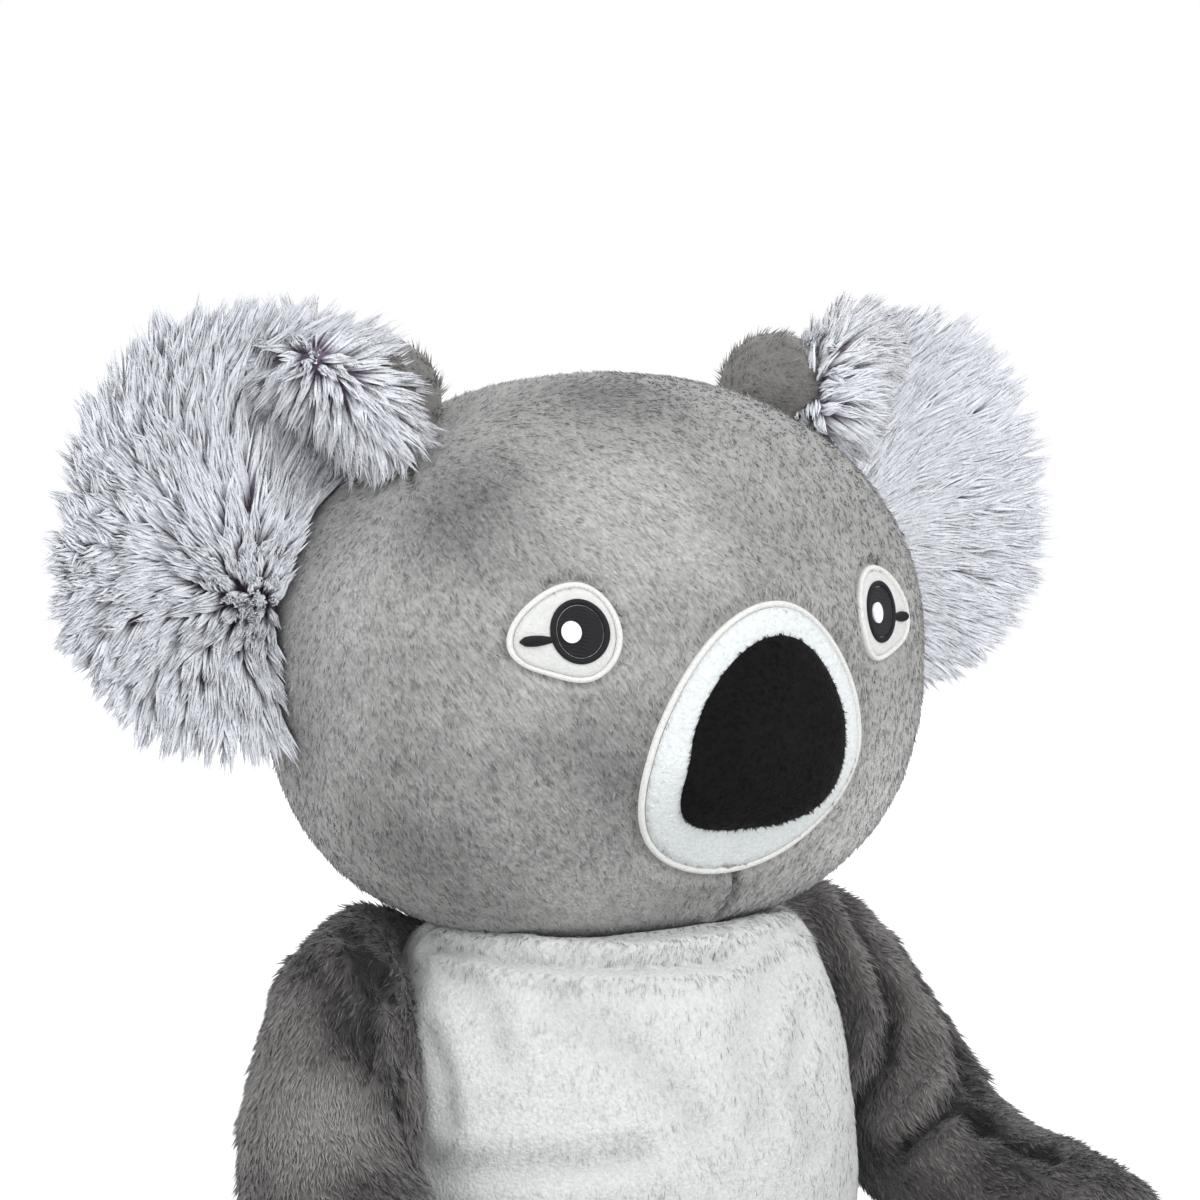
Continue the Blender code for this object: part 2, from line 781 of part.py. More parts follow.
def make_ear(word, side, looks, carrier, head_cutter):
    fur = mirrored(ear_rings(-EAR_FUR_THICKNESS, 0, 0), side)
    carve(make_object(f"{word}_ear_fur", fur, looks["fur"], carrier), head_cutter)
    rings = ear_rings(GAP, GAP + PLUSH, EAR_FUR_OVERHANG)
    back = make_object(f"{word}_ear_back", mirrored(rings, side), looks["grey"], carrier)
    carve(back, head_cutter)


# Arms and legs


def make_claws(word, rows, tip, side, looks, carrier, limb_cutter):
    """Three claws over the rounded end of a hand or foot."""
    end, high = rows[-1].centre, rows[-1].high
    ahead = (end - rows[-2].centre).normalized()
    up = (UP - ahead * UP.dot(ahead)).normalized()
    across = ahead.cross(up)
    for k in (-1, 0, 1):
        turn = k * CLAW_SPACING
        way = (ahead * math.cos(turn) + across * math.sin(turn)).normalized()
        start = end + ahead * (tip - high) * math.cos(turn) + way * high * CLAW_START_SHARE
        claw_rows = []
        for along, size in CLAW_ROW_SHARES:
            curl = CLAW_CURL_SHARE * CLAW_LENGTH * along * along
            centre = start + way * (along * CLAW_LENGTH) - up * curl
            claw_rows.append(Row(centre, size * CLAW_RADIUS, size * CLAW_RADIUS))
        tip_length = CLAW_RADIUS * CLAW_TIP_SHARE
        rings = tube_rings(claw_rows, up, 0, [(0, 0)], tip_length, CLAW_STEPS)
        claw = make_object(f"{word}_claw_{k + 2}", mirrored(rings, side), looks["claw"], carrier)
        carve(claw, limb_cutter)


def make_limb(word, rows, root, tip, side, looks, carrier):
    outer = settled(tube_rings(rows, UP, 0, ball_root(root, 0), tip, LIMB_STEPS))
    hollow = tube_rings(rows, UP, PLUSH, open_root(root, PLUSH), tip, LIMB_STEPS)
    inset = PLUSH + GAP
    core = tube_rings(rows, UP, inset, ball_root(root, inset), tip, LIMB_STEPS)
    inside = make_object(f"{word}_inside", mirrored(hollow, side))
    skin = make_object(f"{word}_skin", mirrored(outer, side), looks["dark"], carrier)
    carve(skin, inside)
    make_object(f"{word}_stuffing", mirrored(core, side), looks["filling"], carrier)
    grown = tube_rings(rows, UP, -GAP, ball_root(root, 0), tip, LIMB_STEPS)
    return make_object(f"{word}_and_gap", mirrored(grown, side))


def make_arm(word, side, looks):
    root = shoulder()
    carrier = make_carrier(f"{word}_shoulder", Vector((side * root.x, root.y, root.z)))
    rows = arm_rows()
    cutter = make_limb(f"{word}_arm", rows, ARM_ROOT_RADIUS, HAND_LENGTH, side, looks, carrier)
    make_claws(f"{word}_hand", rows, HAND_LENGTH, side, looks, carrier, cutter)


def make_leg(word, side, looks):
    root = hip()
    carrier = make_carrier(f"{word}_hip", Vector((side * root.x, root.y, root.z)))
    rows = leg_rows()
    cutter = make_limb(f"{word}_leg", rows, LEG_ROOT_RADIUS, FOOT_LENGTH, side, looks, carrier)
    make_claws(f"{word}_foot", rows, FOOT_LENGTH, side, looks, carrier, cutter)


def make_looks():
    return {
        "mid": make_material("mid_grey_plush", (0.22, 0.205, 0.2), 0.9),
        "grey": make_material("grey_plush", (0.15, 0.14, 0.135), 0.9),
        "dark": make_material("dark_grey_plush", (0.11, 0.1, 0.098), 0.9),
        "pale": make_material("pale_plush", (0.68, 0.69, 0.71), 0.9),
        "muzzle": make_material("muzzle_plush", (0.66, 0.72, 0.77), 0.9),
        "fur": make_material("two_tone_fur", (0.55, 0.53, 0.62), 0.95),
        "thread": make_material("cream_thread", (0.8, 0.78, 0.7), 0.6),
        "white": make_material("white_felt", (0.85, 0.84, 0.8), 0.9),
        "black": make_material("black_plush", (0.012, 0.012, 0.014), 0.8),
        "claw": make_material("black_claw", (0.015, 0.015, 0.018), 0.6),
        "filling": make_material("fibre_filling", (0.9, 0.9, 0.9), 1.0),
        "bag": make_material("pellet_bag_cloth", (0.75, 0.7, 0.6), 0.9),
    }


def main():
    for obj in list(bpy.data.objects):
        bpy.data.objects.remove(obj)
    looks = make_looks()
    make_torso(looks)
    head = make_carrier("neck", NECK)
    head_cutter = make_head(looks, head)
    make_muzzle(looks, head, head_cutter)
    for word, side in (("right", -1), ("left", 1)):
        make_eye(word, side, looks, head, head_cutter)
        make_ear(word, side, looks, head, head_cutter)
        make_arm(word, side, looks)
        make_leg(word, side, looks)


main()
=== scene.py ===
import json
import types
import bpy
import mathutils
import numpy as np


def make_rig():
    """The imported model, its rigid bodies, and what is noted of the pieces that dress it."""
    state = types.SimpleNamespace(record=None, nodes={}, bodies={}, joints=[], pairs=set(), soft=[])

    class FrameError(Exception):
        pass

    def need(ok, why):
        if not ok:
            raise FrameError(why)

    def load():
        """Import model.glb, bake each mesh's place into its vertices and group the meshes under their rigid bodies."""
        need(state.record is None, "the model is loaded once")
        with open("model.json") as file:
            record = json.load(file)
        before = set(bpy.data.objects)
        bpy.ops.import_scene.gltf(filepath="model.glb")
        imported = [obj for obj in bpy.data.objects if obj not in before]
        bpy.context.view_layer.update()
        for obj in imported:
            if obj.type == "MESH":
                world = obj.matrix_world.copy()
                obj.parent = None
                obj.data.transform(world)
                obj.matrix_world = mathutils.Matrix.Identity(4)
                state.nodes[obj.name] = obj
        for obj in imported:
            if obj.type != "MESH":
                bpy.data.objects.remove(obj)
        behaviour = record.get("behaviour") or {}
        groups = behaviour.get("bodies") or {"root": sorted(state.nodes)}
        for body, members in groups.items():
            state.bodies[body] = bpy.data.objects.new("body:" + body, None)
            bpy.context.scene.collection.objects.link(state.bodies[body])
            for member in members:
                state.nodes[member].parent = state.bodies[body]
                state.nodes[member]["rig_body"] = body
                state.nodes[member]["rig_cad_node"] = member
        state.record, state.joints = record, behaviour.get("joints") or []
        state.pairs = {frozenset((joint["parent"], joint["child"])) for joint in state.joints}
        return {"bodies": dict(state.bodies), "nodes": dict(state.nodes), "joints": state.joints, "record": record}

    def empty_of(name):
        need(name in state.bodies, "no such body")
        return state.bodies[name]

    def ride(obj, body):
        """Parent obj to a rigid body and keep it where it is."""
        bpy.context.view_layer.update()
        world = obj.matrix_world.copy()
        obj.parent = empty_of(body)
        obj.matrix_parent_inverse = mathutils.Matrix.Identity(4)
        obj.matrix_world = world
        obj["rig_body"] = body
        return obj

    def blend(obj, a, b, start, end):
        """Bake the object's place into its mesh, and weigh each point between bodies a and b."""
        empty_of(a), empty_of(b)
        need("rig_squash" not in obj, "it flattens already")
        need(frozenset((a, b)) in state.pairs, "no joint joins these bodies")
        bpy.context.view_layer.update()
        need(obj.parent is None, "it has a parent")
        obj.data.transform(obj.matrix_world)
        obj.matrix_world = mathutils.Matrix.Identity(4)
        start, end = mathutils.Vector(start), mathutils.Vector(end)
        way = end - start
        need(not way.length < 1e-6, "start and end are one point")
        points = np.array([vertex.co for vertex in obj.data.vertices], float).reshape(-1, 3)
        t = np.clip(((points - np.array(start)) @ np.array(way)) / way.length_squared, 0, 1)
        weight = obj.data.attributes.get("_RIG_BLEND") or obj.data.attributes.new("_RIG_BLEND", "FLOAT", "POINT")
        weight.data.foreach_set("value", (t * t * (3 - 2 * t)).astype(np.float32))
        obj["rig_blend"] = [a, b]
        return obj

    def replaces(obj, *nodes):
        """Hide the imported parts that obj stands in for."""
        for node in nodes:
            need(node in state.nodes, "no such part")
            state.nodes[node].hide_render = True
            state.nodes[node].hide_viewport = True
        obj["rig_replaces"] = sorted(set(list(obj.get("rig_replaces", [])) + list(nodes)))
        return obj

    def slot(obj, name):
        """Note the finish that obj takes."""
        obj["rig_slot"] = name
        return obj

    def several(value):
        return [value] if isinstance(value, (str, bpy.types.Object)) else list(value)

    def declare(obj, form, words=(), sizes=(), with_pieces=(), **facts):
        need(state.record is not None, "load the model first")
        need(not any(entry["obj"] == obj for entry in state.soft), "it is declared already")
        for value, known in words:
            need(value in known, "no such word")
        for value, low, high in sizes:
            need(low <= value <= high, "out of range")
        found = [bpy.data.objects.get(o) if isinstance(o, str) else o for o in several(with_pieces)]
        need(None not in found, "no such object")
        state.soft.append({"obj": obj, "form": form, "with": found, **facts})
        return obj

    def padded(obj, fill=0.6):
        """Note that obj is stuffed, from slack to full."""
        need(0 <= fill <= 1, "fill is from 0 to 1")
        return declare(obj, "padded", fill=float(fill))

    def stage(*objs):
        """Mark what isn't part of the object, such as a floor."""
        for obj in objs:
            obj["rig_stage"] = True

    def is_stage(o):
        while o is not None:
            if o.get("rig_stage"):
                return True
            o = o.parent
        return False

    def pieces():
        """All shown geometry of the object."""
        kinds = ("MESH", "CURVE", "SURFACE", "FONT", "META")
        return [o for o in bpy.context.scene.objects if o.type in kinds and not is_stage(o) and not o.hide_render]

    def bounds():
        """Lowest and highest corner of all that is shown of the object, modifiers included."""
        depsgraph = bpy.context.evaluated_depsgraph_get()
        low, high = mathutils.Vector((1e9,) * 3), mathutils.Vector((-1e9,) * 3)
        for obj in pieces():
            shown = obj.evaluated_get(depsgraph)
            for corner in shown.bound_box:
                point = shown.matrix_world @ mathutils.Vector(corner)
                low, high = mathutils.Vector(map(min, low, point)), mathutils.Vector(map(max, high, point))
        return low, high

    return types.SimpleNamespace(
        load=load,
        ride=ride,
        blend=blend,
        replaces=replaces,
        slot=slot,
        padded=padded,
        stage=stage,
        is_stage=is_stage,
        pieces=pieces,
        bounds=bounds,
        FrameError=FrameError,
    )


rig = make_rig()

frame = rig.load()
CAD_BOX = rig.bounds()

import json
import math
from collections import namedtuple

import bmesh
import bpy
import numpy as np
from bpy.props import FloatProperty, FloatVectorProperty, IntProperty, PointerProperty
from mathutils import Vector, noise
from mathutils.bvhtree import BVHTree
from mathutils.kdtree import KDTree

bl_info = {
    "name": "Plush koala",
    "version": (1, 0, 0),
    "blender": (4, 5, 0),
    "location": "3D View > Sidebar > Koala",
    "description": "Plush skins, fur, embroidery and claws of a seated stuffed koala",
    "category": "Object",
}

# Forms shared by several pieces, in metres. The face looks along -Y.
Egg = namedtuple("Egg", "width front back up down section upper lower")
HEAD = Egg(0.123, 0.087, 0.088, 0.0985, 0.0985, 2.2, 2.15, 2.45)
TURNING_HEAD = Egg(0.123, 0.0955, 0.0960, 0.0985, 0.0985, 2.2, 2.15, 2.5)
TORSO = Egg(0.095, 0.078, 0.064, 0.167, 0.0455, 2.2, 3.5, 3.0)
HEAD_CENTRE = np.array((0, 0, 0.285))
TORSO_CENTRE = np.array((0, 0, 0.045))
MUZZLE = (0, -0.022)
NOSE = (0, -0.018)
EYE = (0.0616, 0.0172)
EAR = np.array((0.138, 0.024, 0.335))
SIDES = (("right", -1), ("left", 1))
# How much of the head's depth the muzzle takes to swell to its full height
SWELL_DEPTH = 0.5 * HEAD.front

# The photograph's view
VIEW_TURN = math.radians(-35)
VIEW_RISE = math.radians(5)
VIEW_DISTANCE = 1.4
METRES_PER_PIXEL = 0.00035
MIDDLE_PIXEL = 600
HEAD_PIXEL_DROP = 55


def length_prop(name, description, value):
    return FloatProperty(name=name, description=description, default=value, unit="LENGTH")


def colour_prop(name, description, value):
    return FloatVectorProperty(
        name=name, description=description, default=value, size=3, min=0, max=1, subtype="COLOR"
    )


class KoalaSizes(bpy.types.PropertyGroup):
    head_pile: length_prop("Head pile", "Length of the short plush on the head", 0.0030)
    body_pile: length_prop("Body pile", "Length of the plush on arms, legs and back", 0.0050)
    belly_pile: length_prop("Belly pile", "Length of the pale plush of the belly", 0.0042)
    ear_fur: length_prop("Ear fur", "Length of the two-tone fur of the ears", 0.026)
    stitch: length_prop("Stitch", "Spacing of the satin stitches", 0.00055)
    pile_share: FloatProperty(
        name="Pile share", description="Share of the strands grown", default=1, min=0.05, max=1
    )
    seed: IntProperty(name="Seed", description="Where the strands fall", default=7)


class KoalaColours(bpy.types.PropertyGroup):
    head: colour_prop("Head", "Tips of the head's plush", (0.376, 0.373, 0.370))
    head_root: colour_prop("Head roots", "Ground of the head's plush", (0.268, 0.265, 0.263))
    body: colour_prop("Arms and back", "Tips of the darker plush", (0.172, 0.165, 0.163))
    body_root: colour_prop(
        "Arms and back roots", "Ground of the darker plush", (0.076, 0.071, 0.070)
    )
    ear: colour_prop("Ear backs", "Tips of the plush behind the ears", (0.250, 0.243, 0.236))
    ear_root: colour_prop(
        "Ear back roots", "Ground of the plush behind the ears", (0.130, 0.124, 0.119)
    )
    belly: colour_prop("Belly", "Tips of the pale plush", (0.694, 0.712, 0.707))
    belly_root: colour_prop("Belly roots", "Ground of the pale plush", (0.672, 0.690, 0.687))
    muzzle: colour_prop("Muzzle", "Tips of the muzzle's plush", (0.785, 0.826, 0.836))
    muzzle_root: colour_prop("Muzzle roots", "Ground of the muzzle's plush", (0.762, 0.803, 0.814))
    nose: colour_prop("Nose", "Tips of the nose's plush", (0.011, 0.010, 0.011))
    nose_root: colour_prop("Nose roots", "Ground of the nose's plush", (0.003, 0.003, 0.003))
    fur_tip: colour_prop("Fur tips", "Pale ends of the ears' fur", (0.905, 0.930, 1.000))
    fur_root: colour_prop("Fur roots", "Dark roots of the ears' fur", (0.185, 0.140, 0.210))
    felt: colour_prop("Felt", "White felt of the eyes", (0.725, 0.735, 0.725))
    satin: colour_prop("Satin thread", "Cream thread round the patches", (0.850, 0.850, 0.825))
    black: colour_prop("Black thread", "Thread of the pupils and lashes", (0.012, 0.012, 0.015))
    bright: colour_prop("White thread", "Thread of the eyes' highlights", (0.88, 0.89, 0.93))
    claw: colour_prop("Claws", "Matt black claws", (0.012, 0.012, 0.014))
    floor: colour_prop("Floor", "Pale floor and backdrop", (0.85, 0.85, 0.85))


# Numbers


def unit(rows):
    return rows / np.maximum(np.linalg.norm(rows, axis=-1, keepdims=True), 1e-12)


def ease(share):
    share = np.clip(share, 0, 1)
    return share * share * (3 - 2 * share)


def hump(distance, width):
    return np.exp(-((distance / width) ** 2))


def distances(spots, places):
    """From each spot to each place."""
    return np.linalg.norm(spots[:, None] - places[None], axis=-1)


def square_to(out, ways):
    """The part of each way that runs square to its own way out."""
    return ways - out * (ways * out).sum(axis=1, keepdims=True)


def grain(spots, size, seed=0):
    """Smooth noise from -1 to 1 whose lumps are about this size."""
    shift = Vector((seed * 7.3, seed * 3.1, seed * 5.7))
    return np.array([noise.noise(Vector(spot) / size + shift) for spot in spots])


def gauge(egg, spots):
    """How far out spots are from the egg's centre: 1 on its surface, less inside."""
    depth = np.where(spots[:, 1] < 0, egg.front, egg.back)
    upper = spots[:, 2] > 0
    half = np.where(upper, egg.up, egg.down)
    power = np.where(upper, egg.upper, egg.lower)
    wide, deep = abs(spots[:, 0]) / egg.width, abs(spots[:, 1]) / depth
    across = wide**egg.section + deep**egg.section
    return (across ** (power / egg.section) + (abs(spots[:, 2]) / half) ** power) ** (1 / power)


def egg_front(egg, x, z):
    half = np.where(z > 0, egg.up, egg.down)
    power = np.where(z > 0, egg.upper, egg.lower)
    level = np.maximum(0, 1 - (abs(z) / half) ** power) ** (1 / power)
    across = abs(x) / np.maximum(egg.width * level, 1e-4)
    return egg.front * level * np.maximum(0, 1 - across**egg.section) ** (1 / egg.section)


def muzzle_swell(x, z):
    """How far the muzzle and the bridge of the nose stand out of the head's egg."""
    half_width, above, below = 0.048, 0.062, 0.052
    tall = np.where(z > MUZZLE[1], above, below)
    out = (abs(x) / half_width) ** 3 + (abs(z - MUZZLE[1]) / tall) ** 3
    puff = 0.0105 / (1 + out**4) * ease((z + 1.2 * below) / 0.040)
    bridge = 0.005 * np.exp(-((x / 0.026) ** 2) - ((z - 0.038) / 0.030) ** 2)
    return puff + bridge


def face_depth(x, z):
    """How far the front of the head lies before its centre."""
    base = egg_front(HEAD, x, z)
    return base + ease(base / SWELL_DEPTH) * muzzle_swell(x, z)


def on_face(x, z, lift):
    """Spots over the face at x, z from the head's centre, lifted square to the fabric."""
    step = 0.0005
    slope_x = (face_depth(x + step, z) - face_depth(x - step, z)) / (2 * step)
    slope_z = (face_depth(x, z + step) - face_depth(x, z - step)) / (2 * step)
    out = unit(np.stack([-slope_x, -np.ones_like(slope_x), -slope_z], axis=-1))
    spots = np.stack([x, -face_depth(x, z), z], axis=-1) + HEAD_CENTRE
    return spots + out * np.reshape(lift, (-1, 1))


# Meshes


def positions(mesh):
    flat = np.empty(len(mesh.vertices) * 3)
    mesh.vertices.foreach_get("co", flat)
    return flat.reshape(-1, 3)


def outward(mesh):
    flat = np.empty(len(mesh.vertices) * 3)
    mesh.vertex_normals.foreach_get("vector", flat)
    return flat.reshape(-1, 3)


def reshape(mesh, spots):
    mesh.vertices.foreach_set("co", np.asarray(spots, float).ravel())
    mesh.update()
    return mesh


def mesh_from(shape, name):
    """The mesh of a shape whose making is over."""
    mesh = bpy.data.meshes.new(name)
    shape.to_mesh(mesh)
    shape.free()
    return mesh


def show(name, mesh, look):
    """A shown object from a mesh, smooth, with one material."""
    obj = bpy.data.objects.new(name, mesh)
    bpy.context.scene.collection.objects.link(obj)
    mesh.name = name
    mesh.materials.clear()
    mesh.materials.append(look)
    mesh.shade_smooth()
    return obj


def settle(obj, body, nodes=(), slot=None, fill=None, to=None):
    """The piece rides on a body, stands for its CAD nodes and takes its slot. With to, it is
    blended from that body to another: (the other, the place where it leaves the first, the
    place where it is all on the other)."""
    if to:
        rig.blend(obj, body, *to)
    else:
        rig.ride(obj, body)
    if nodes:
        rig.replaces(obj, *nodes)
    if slot:
        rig.slot(obj, slot)
    if fill is not None:
        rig.padded(obj, fill=fill)


def ball(level):
    """A unit ball of even triangles."""
    shape = bmesh.new()
    bmesh.ops.create_icosphere(shape, subdivisions=level, radius=1)
    return mesh_from(shape, "ball")


def egg_mesh(egg, centre):
    mesh = ball(7)
    way = positions(mesh)
    depth = np.where(way[:, 1] < 0, egg.front, egg.back)
    tall = np.where(way[:, 2] > 0, egg.up, egg.down)
    way = way * np.stack([np.full(len(way), egg.width), depth, tall], axis=-1)
    return reshape(mesh, way / gauge(egg, way)[:, None] + centre)


def wrapped(columns, rows, place):
    """A grid bent by place(u, v) into a closed skin: u runs round it and v from end to end."""
    shape = bmesh.new()
    shape.loops.layers.uv.new("UVMap")
    bmesh.ops.create_grid(shape, x_segments=columns, y_segments=rows, size=0.5, calc_uvs=True)
    share = np.array([(vert.co.x + 0.5, vert.co.y + 0.5) for vert in shape.verts])
    for vert, spot in zip(shape.verts, place(share[:, 0], share[:, 1])):
        vert.co = spot
    bmesh.ops.remove_doubles(shape, verts=shape.verts, dist=2e-6)
    bmesh.ops.recalc_face_normals(shape, faces=shape.faces)
    return mesh_from(shape, "wrapped")


def finished(obj):
    """The object's mesh with its modifiers applied."""
    bpy.context.view_layer.update()
    graph = bpy.context.evaluated_depsgraph_get()
    mesh = bpy.data.meshes.new_from_object(obj.evaluated_get(graph))
    bpy.data.objects.remove(obj)
    return mesh


def remeshed(mesh, voxel, smooth=6):
    """The same form with even small faces and no folds through itself."""
    obj = bpy.data.objects.new("remeshing", mesh)
    bpy.context.scene.collection.objects.link(obj)
    grid = obj.modifiers.new("grid", "REMESH")
    grid.mode = "VOXEL"
    grid.voxel_size = voxel
    soft = obj.modifiers.new("soft", "SMOOTH")
    soft.factor = 0.5
    soft.iterations = smooth
    return finished(obj)


def line_distance(spots, line):
    """Each spot's distance to a chain of points."""
    best = np.full(len(spots), 1e9)
    for start, end in zip(line, line[1:]):
        run = end - start
        share = np.clip((spots - start) @ run / max(run @ run, 1e-12), 0, 1)
        best = np.minimum(best, np.linalg.norm(spots - start - share[:, None] * run, axis=1))
    return best


def camera_axes():
    """The view's right, up and back."""
    across, ahead = math.cos(VIEW_TURN), math.sin(VIEW_TURN)
    level = math.cos(VIEW_RISE)
    back = np.array((ahead * level, -across * level, math.sin(VIEW_RISE)))
    right = np.array((across, ahead, 0))
    return right, np.cross(back, right), back


def camera_place():
    _, up, back = camera_axes()
    aim = HEAD_CENTRE + up * HEAD_PIXEL_DROP * METRES_PER_PIXEL
    return aim + back * VIEW_DISTANCE


def seen(tree, pixels):
    """Where the photograph's pixels lie on a form."""
    right, up, back = camera_axes()
    eye = camera_place()
    found = []
    for px, py in pixels:
        way = -back * VIEW_DISTANCE
        way = way + right * (px - MIDDLE_PIXEL) * METRES_PER_PIXEL
        way = way - up * (py - MIDDLE_PIXEL) * METRES_PER_PIXEL
        spot = tree.ray_cast(Vector(eye), Vector(way).normalized())[0]
        if spot is not None:
            found.append(np.array(spot))
    return found


def tree_of(mesh):
    return BVHTree.FromPolygons(
        [vert.co for vert in mesh.vertices], [tuple(face.vertices) for face in mesh.polygons]
    )


def folded(mesh, folds):
    """Presses creases and raises ridges: each fold is (points, width, height) with a height
    below zero for a crease, whose banks swell a little."""
    spots, out = positions(mesh), outward(mesh)
    push = np.zeros(len(spots))
    for line, width, height in folds:
        if len(line) < 2:
            raise ValueError("a fold needs two points on its form")
        away = line_distance(spots, line)
        push += height * hump(away, width)
        if height < 0:
            push -= 0.35 * height * hump(away - 2.1 * width, width)
    return reshape(mesh, spots + out * push[:, None])


def paint_fold_light_and_shade(folds, ridge, crease):
    """Painted light on the ridges of the folds and painted shade in their creases, as tones of the nap."""

    def nap(spots):
        total = np.zeros(len(spots))
        for line, width, height in folds:
            share = ridge if height > 0 else -crease
            total += share * hump(line_distance(spots, line), 1.25 * width)
        return total

    return nap


def paint_light_and_shade_spots(tree, strokes):
    """Spots of painted light and painted shade about pixels of the photograph, as tones of the nap: (x, y, size,
    amount).
    """
    found = [(seen(tree, [(x, y)]), size, amount) for x, y, size, amount in strokes]

    def nap(spots):
        total = np.zeros(len(spots))
        for places, size, amount in found:
            for place in places:
                total += amount * hump(np.linalg.norm(spots - place, axis=1), size)
        return total

    return nap


def grounded(mesh):
    """The same mesh with nothing below the floor."""
    spots = positions(mesh)
    spots[:, 2] = np.maximum(spots[:, 2], 0)
    return reshape(mesh, spots)


def uneven(mesh, *lumps):
    """Slow unevenness of the filling, from lumps of (height, size, seed)."""
    spots, out = positions(mesh), outward(mesh)
    push = sum(height * grain(spots, size, seed) for height, size, seed in lumps)
    return reshape(mesh, spots + out * push[:, None])


def store_tone_and_painted_light(mesh, nap):
    """Stores the nap's tone, its painted light and shade and any random tone, on a skin, for the cloth that shows
    between its strands.
    """
    values = np.zeros((len(mesh.vertices), 3))
    values[:, 0] = nap(positions(mesh))
    store = mesh.attributes.new("strand", "FLOAT_VECTOR", "POINT")
    store.data.foreach_set("vector", values.ravel())


# Strands

# How deep the strands are rooted, and how far above the floor they stay
ROOT_DEPTH = 0.0004
FLOOR_GAP = 0.0002


def roots(mesh, count, dice, weight):
    """Random places on a form, with the way out of it there."""
    mesh.calc_loop_triangles()
    tri = np.empty(len(mesh.loop_triangles) * 3, int)
    mesh.loop_triangles.foreach_get("vertices", tri)
    tri = tri.reshape(-1, 3)
    corners = positions(mesh)[tri]
    first, second = corners[:, 1] - corners[:, 0], corners[:, 2] - corners[:, 0]
    area = np.linalg.norm(np.cross(first, second), axis=1) * weight(corners.mean(axis=1))
    reach = np.cumsum(area)
    pick = np.searchsorted(reach, dice.random(count) * reach[-1])
    a, b = dice.random(count), dice.random(count)
    over = a + b > 1
    a, b = np.where(over, 1 - a, a), np.where(over, 1 - b, b)
    share = np.stack([1 - a - b, a, b], axis=-1)[:, :, None]
    return (corners[pick] * share).sum(axis=1), unit((outward(mesh)[tri[pick]] * share).sum(axis=1))


def nearest_tuft(spots, every, dice):
    """For each root, the index of the root that leads its tuft."""
    leads = dice.choice(len(spots), max(1, len(spots) // every), replace=False)
    tree = KDTree(len(leads))
    for i, lead in enumerate(leads):
        tree.insert(Vector(spots[lead]), i)
    tree.balance()
    return leads[np.array([tree.find(Vector(spot))[1] for spot in spots])]


def needles(name, spine, thickness, tone, look, dice, out, soft=0.75):
    """Closed three-sided needles along spines of (strand, station, place). They catch the light
    mostly as the cloth they stand on does."""
    count, stations, _ = spine.shape
    along = unit(spine[:, -1] - spine[:, 0])
    side = unit(np.cross(along, dice.normal(size=(count, 3))))
    up = np.cross(along, side)
    corners = []
    for k in range(3):
        turn = 2 * math.pi * k / 3
        corners.append(side * math.cos(turn) + up * math.sin(turn))
    ring = np.stack(corners, axis=1)
    size = stations * 3 - 2
    spots = np.empty((count, size, 3))
    share = np.empty((count, size))
    for s in range(stations - 1):
        spots[:, 3 * s : 3 * s + 3] = spine[:, s, None] + ring * (thickness[:, s, None, None] / 2)
        share[:, 3 * s : 3 * s + 3] = s / (stations - 1)
    spots[:, -1] = spine[:, -1]
    share[:, -1] = 1
    faces = [(0, 2, 1)]
    for s in range(stations - 2):
        for k in range(3):
            a, b = 3 * s + k, 3 * s + (k + 1) % 3
            faces += [(a, b, b + 3), (a, b + 3, a + 3)]
    low = 3 * (stations - 2)
    faces += [(low + k, low + (k + 1) % 3, size - 1) for k in range(3)]
    corner = (np.array(faces)[None] + np.arange(count)[:, None, None] * size).ravel()
    mesh = bpy.data.meshes.new(name)
    mesh.vertices.add(count * size)
    mesh.vertices.foreach_set("co", spots.ravel())
    mesh.loops.add(len(corner))
    mesh.loops.foreach_set("vertex_index", corner)
    mesh.polygons.add(len(corner) // 3)
    mesh.polygons.foreach_set("loop_start", np.arange(0, len(corner), 3))
    mesh.update(calc_edges=True)
    tint = np.repeat(tone[:, None] - 0.5, size, axis=1)
    store = mesh.attributes.new("strand", "FLOAT_VECTOR", "POINT")
    store.data.foreach_set("vector", np.stack([tint, share, np.ones_like(tint)], axis=-1).ravel())
    piece = show(name, mesh, look)
    facing = unit(outward(mesh).reshape(count, size, 3) * (1 - soft) + out[:, None] * soft)
    mesh.normals_split_custom_set_from_vertices(facing.reshape(-1, 3))
    return piece


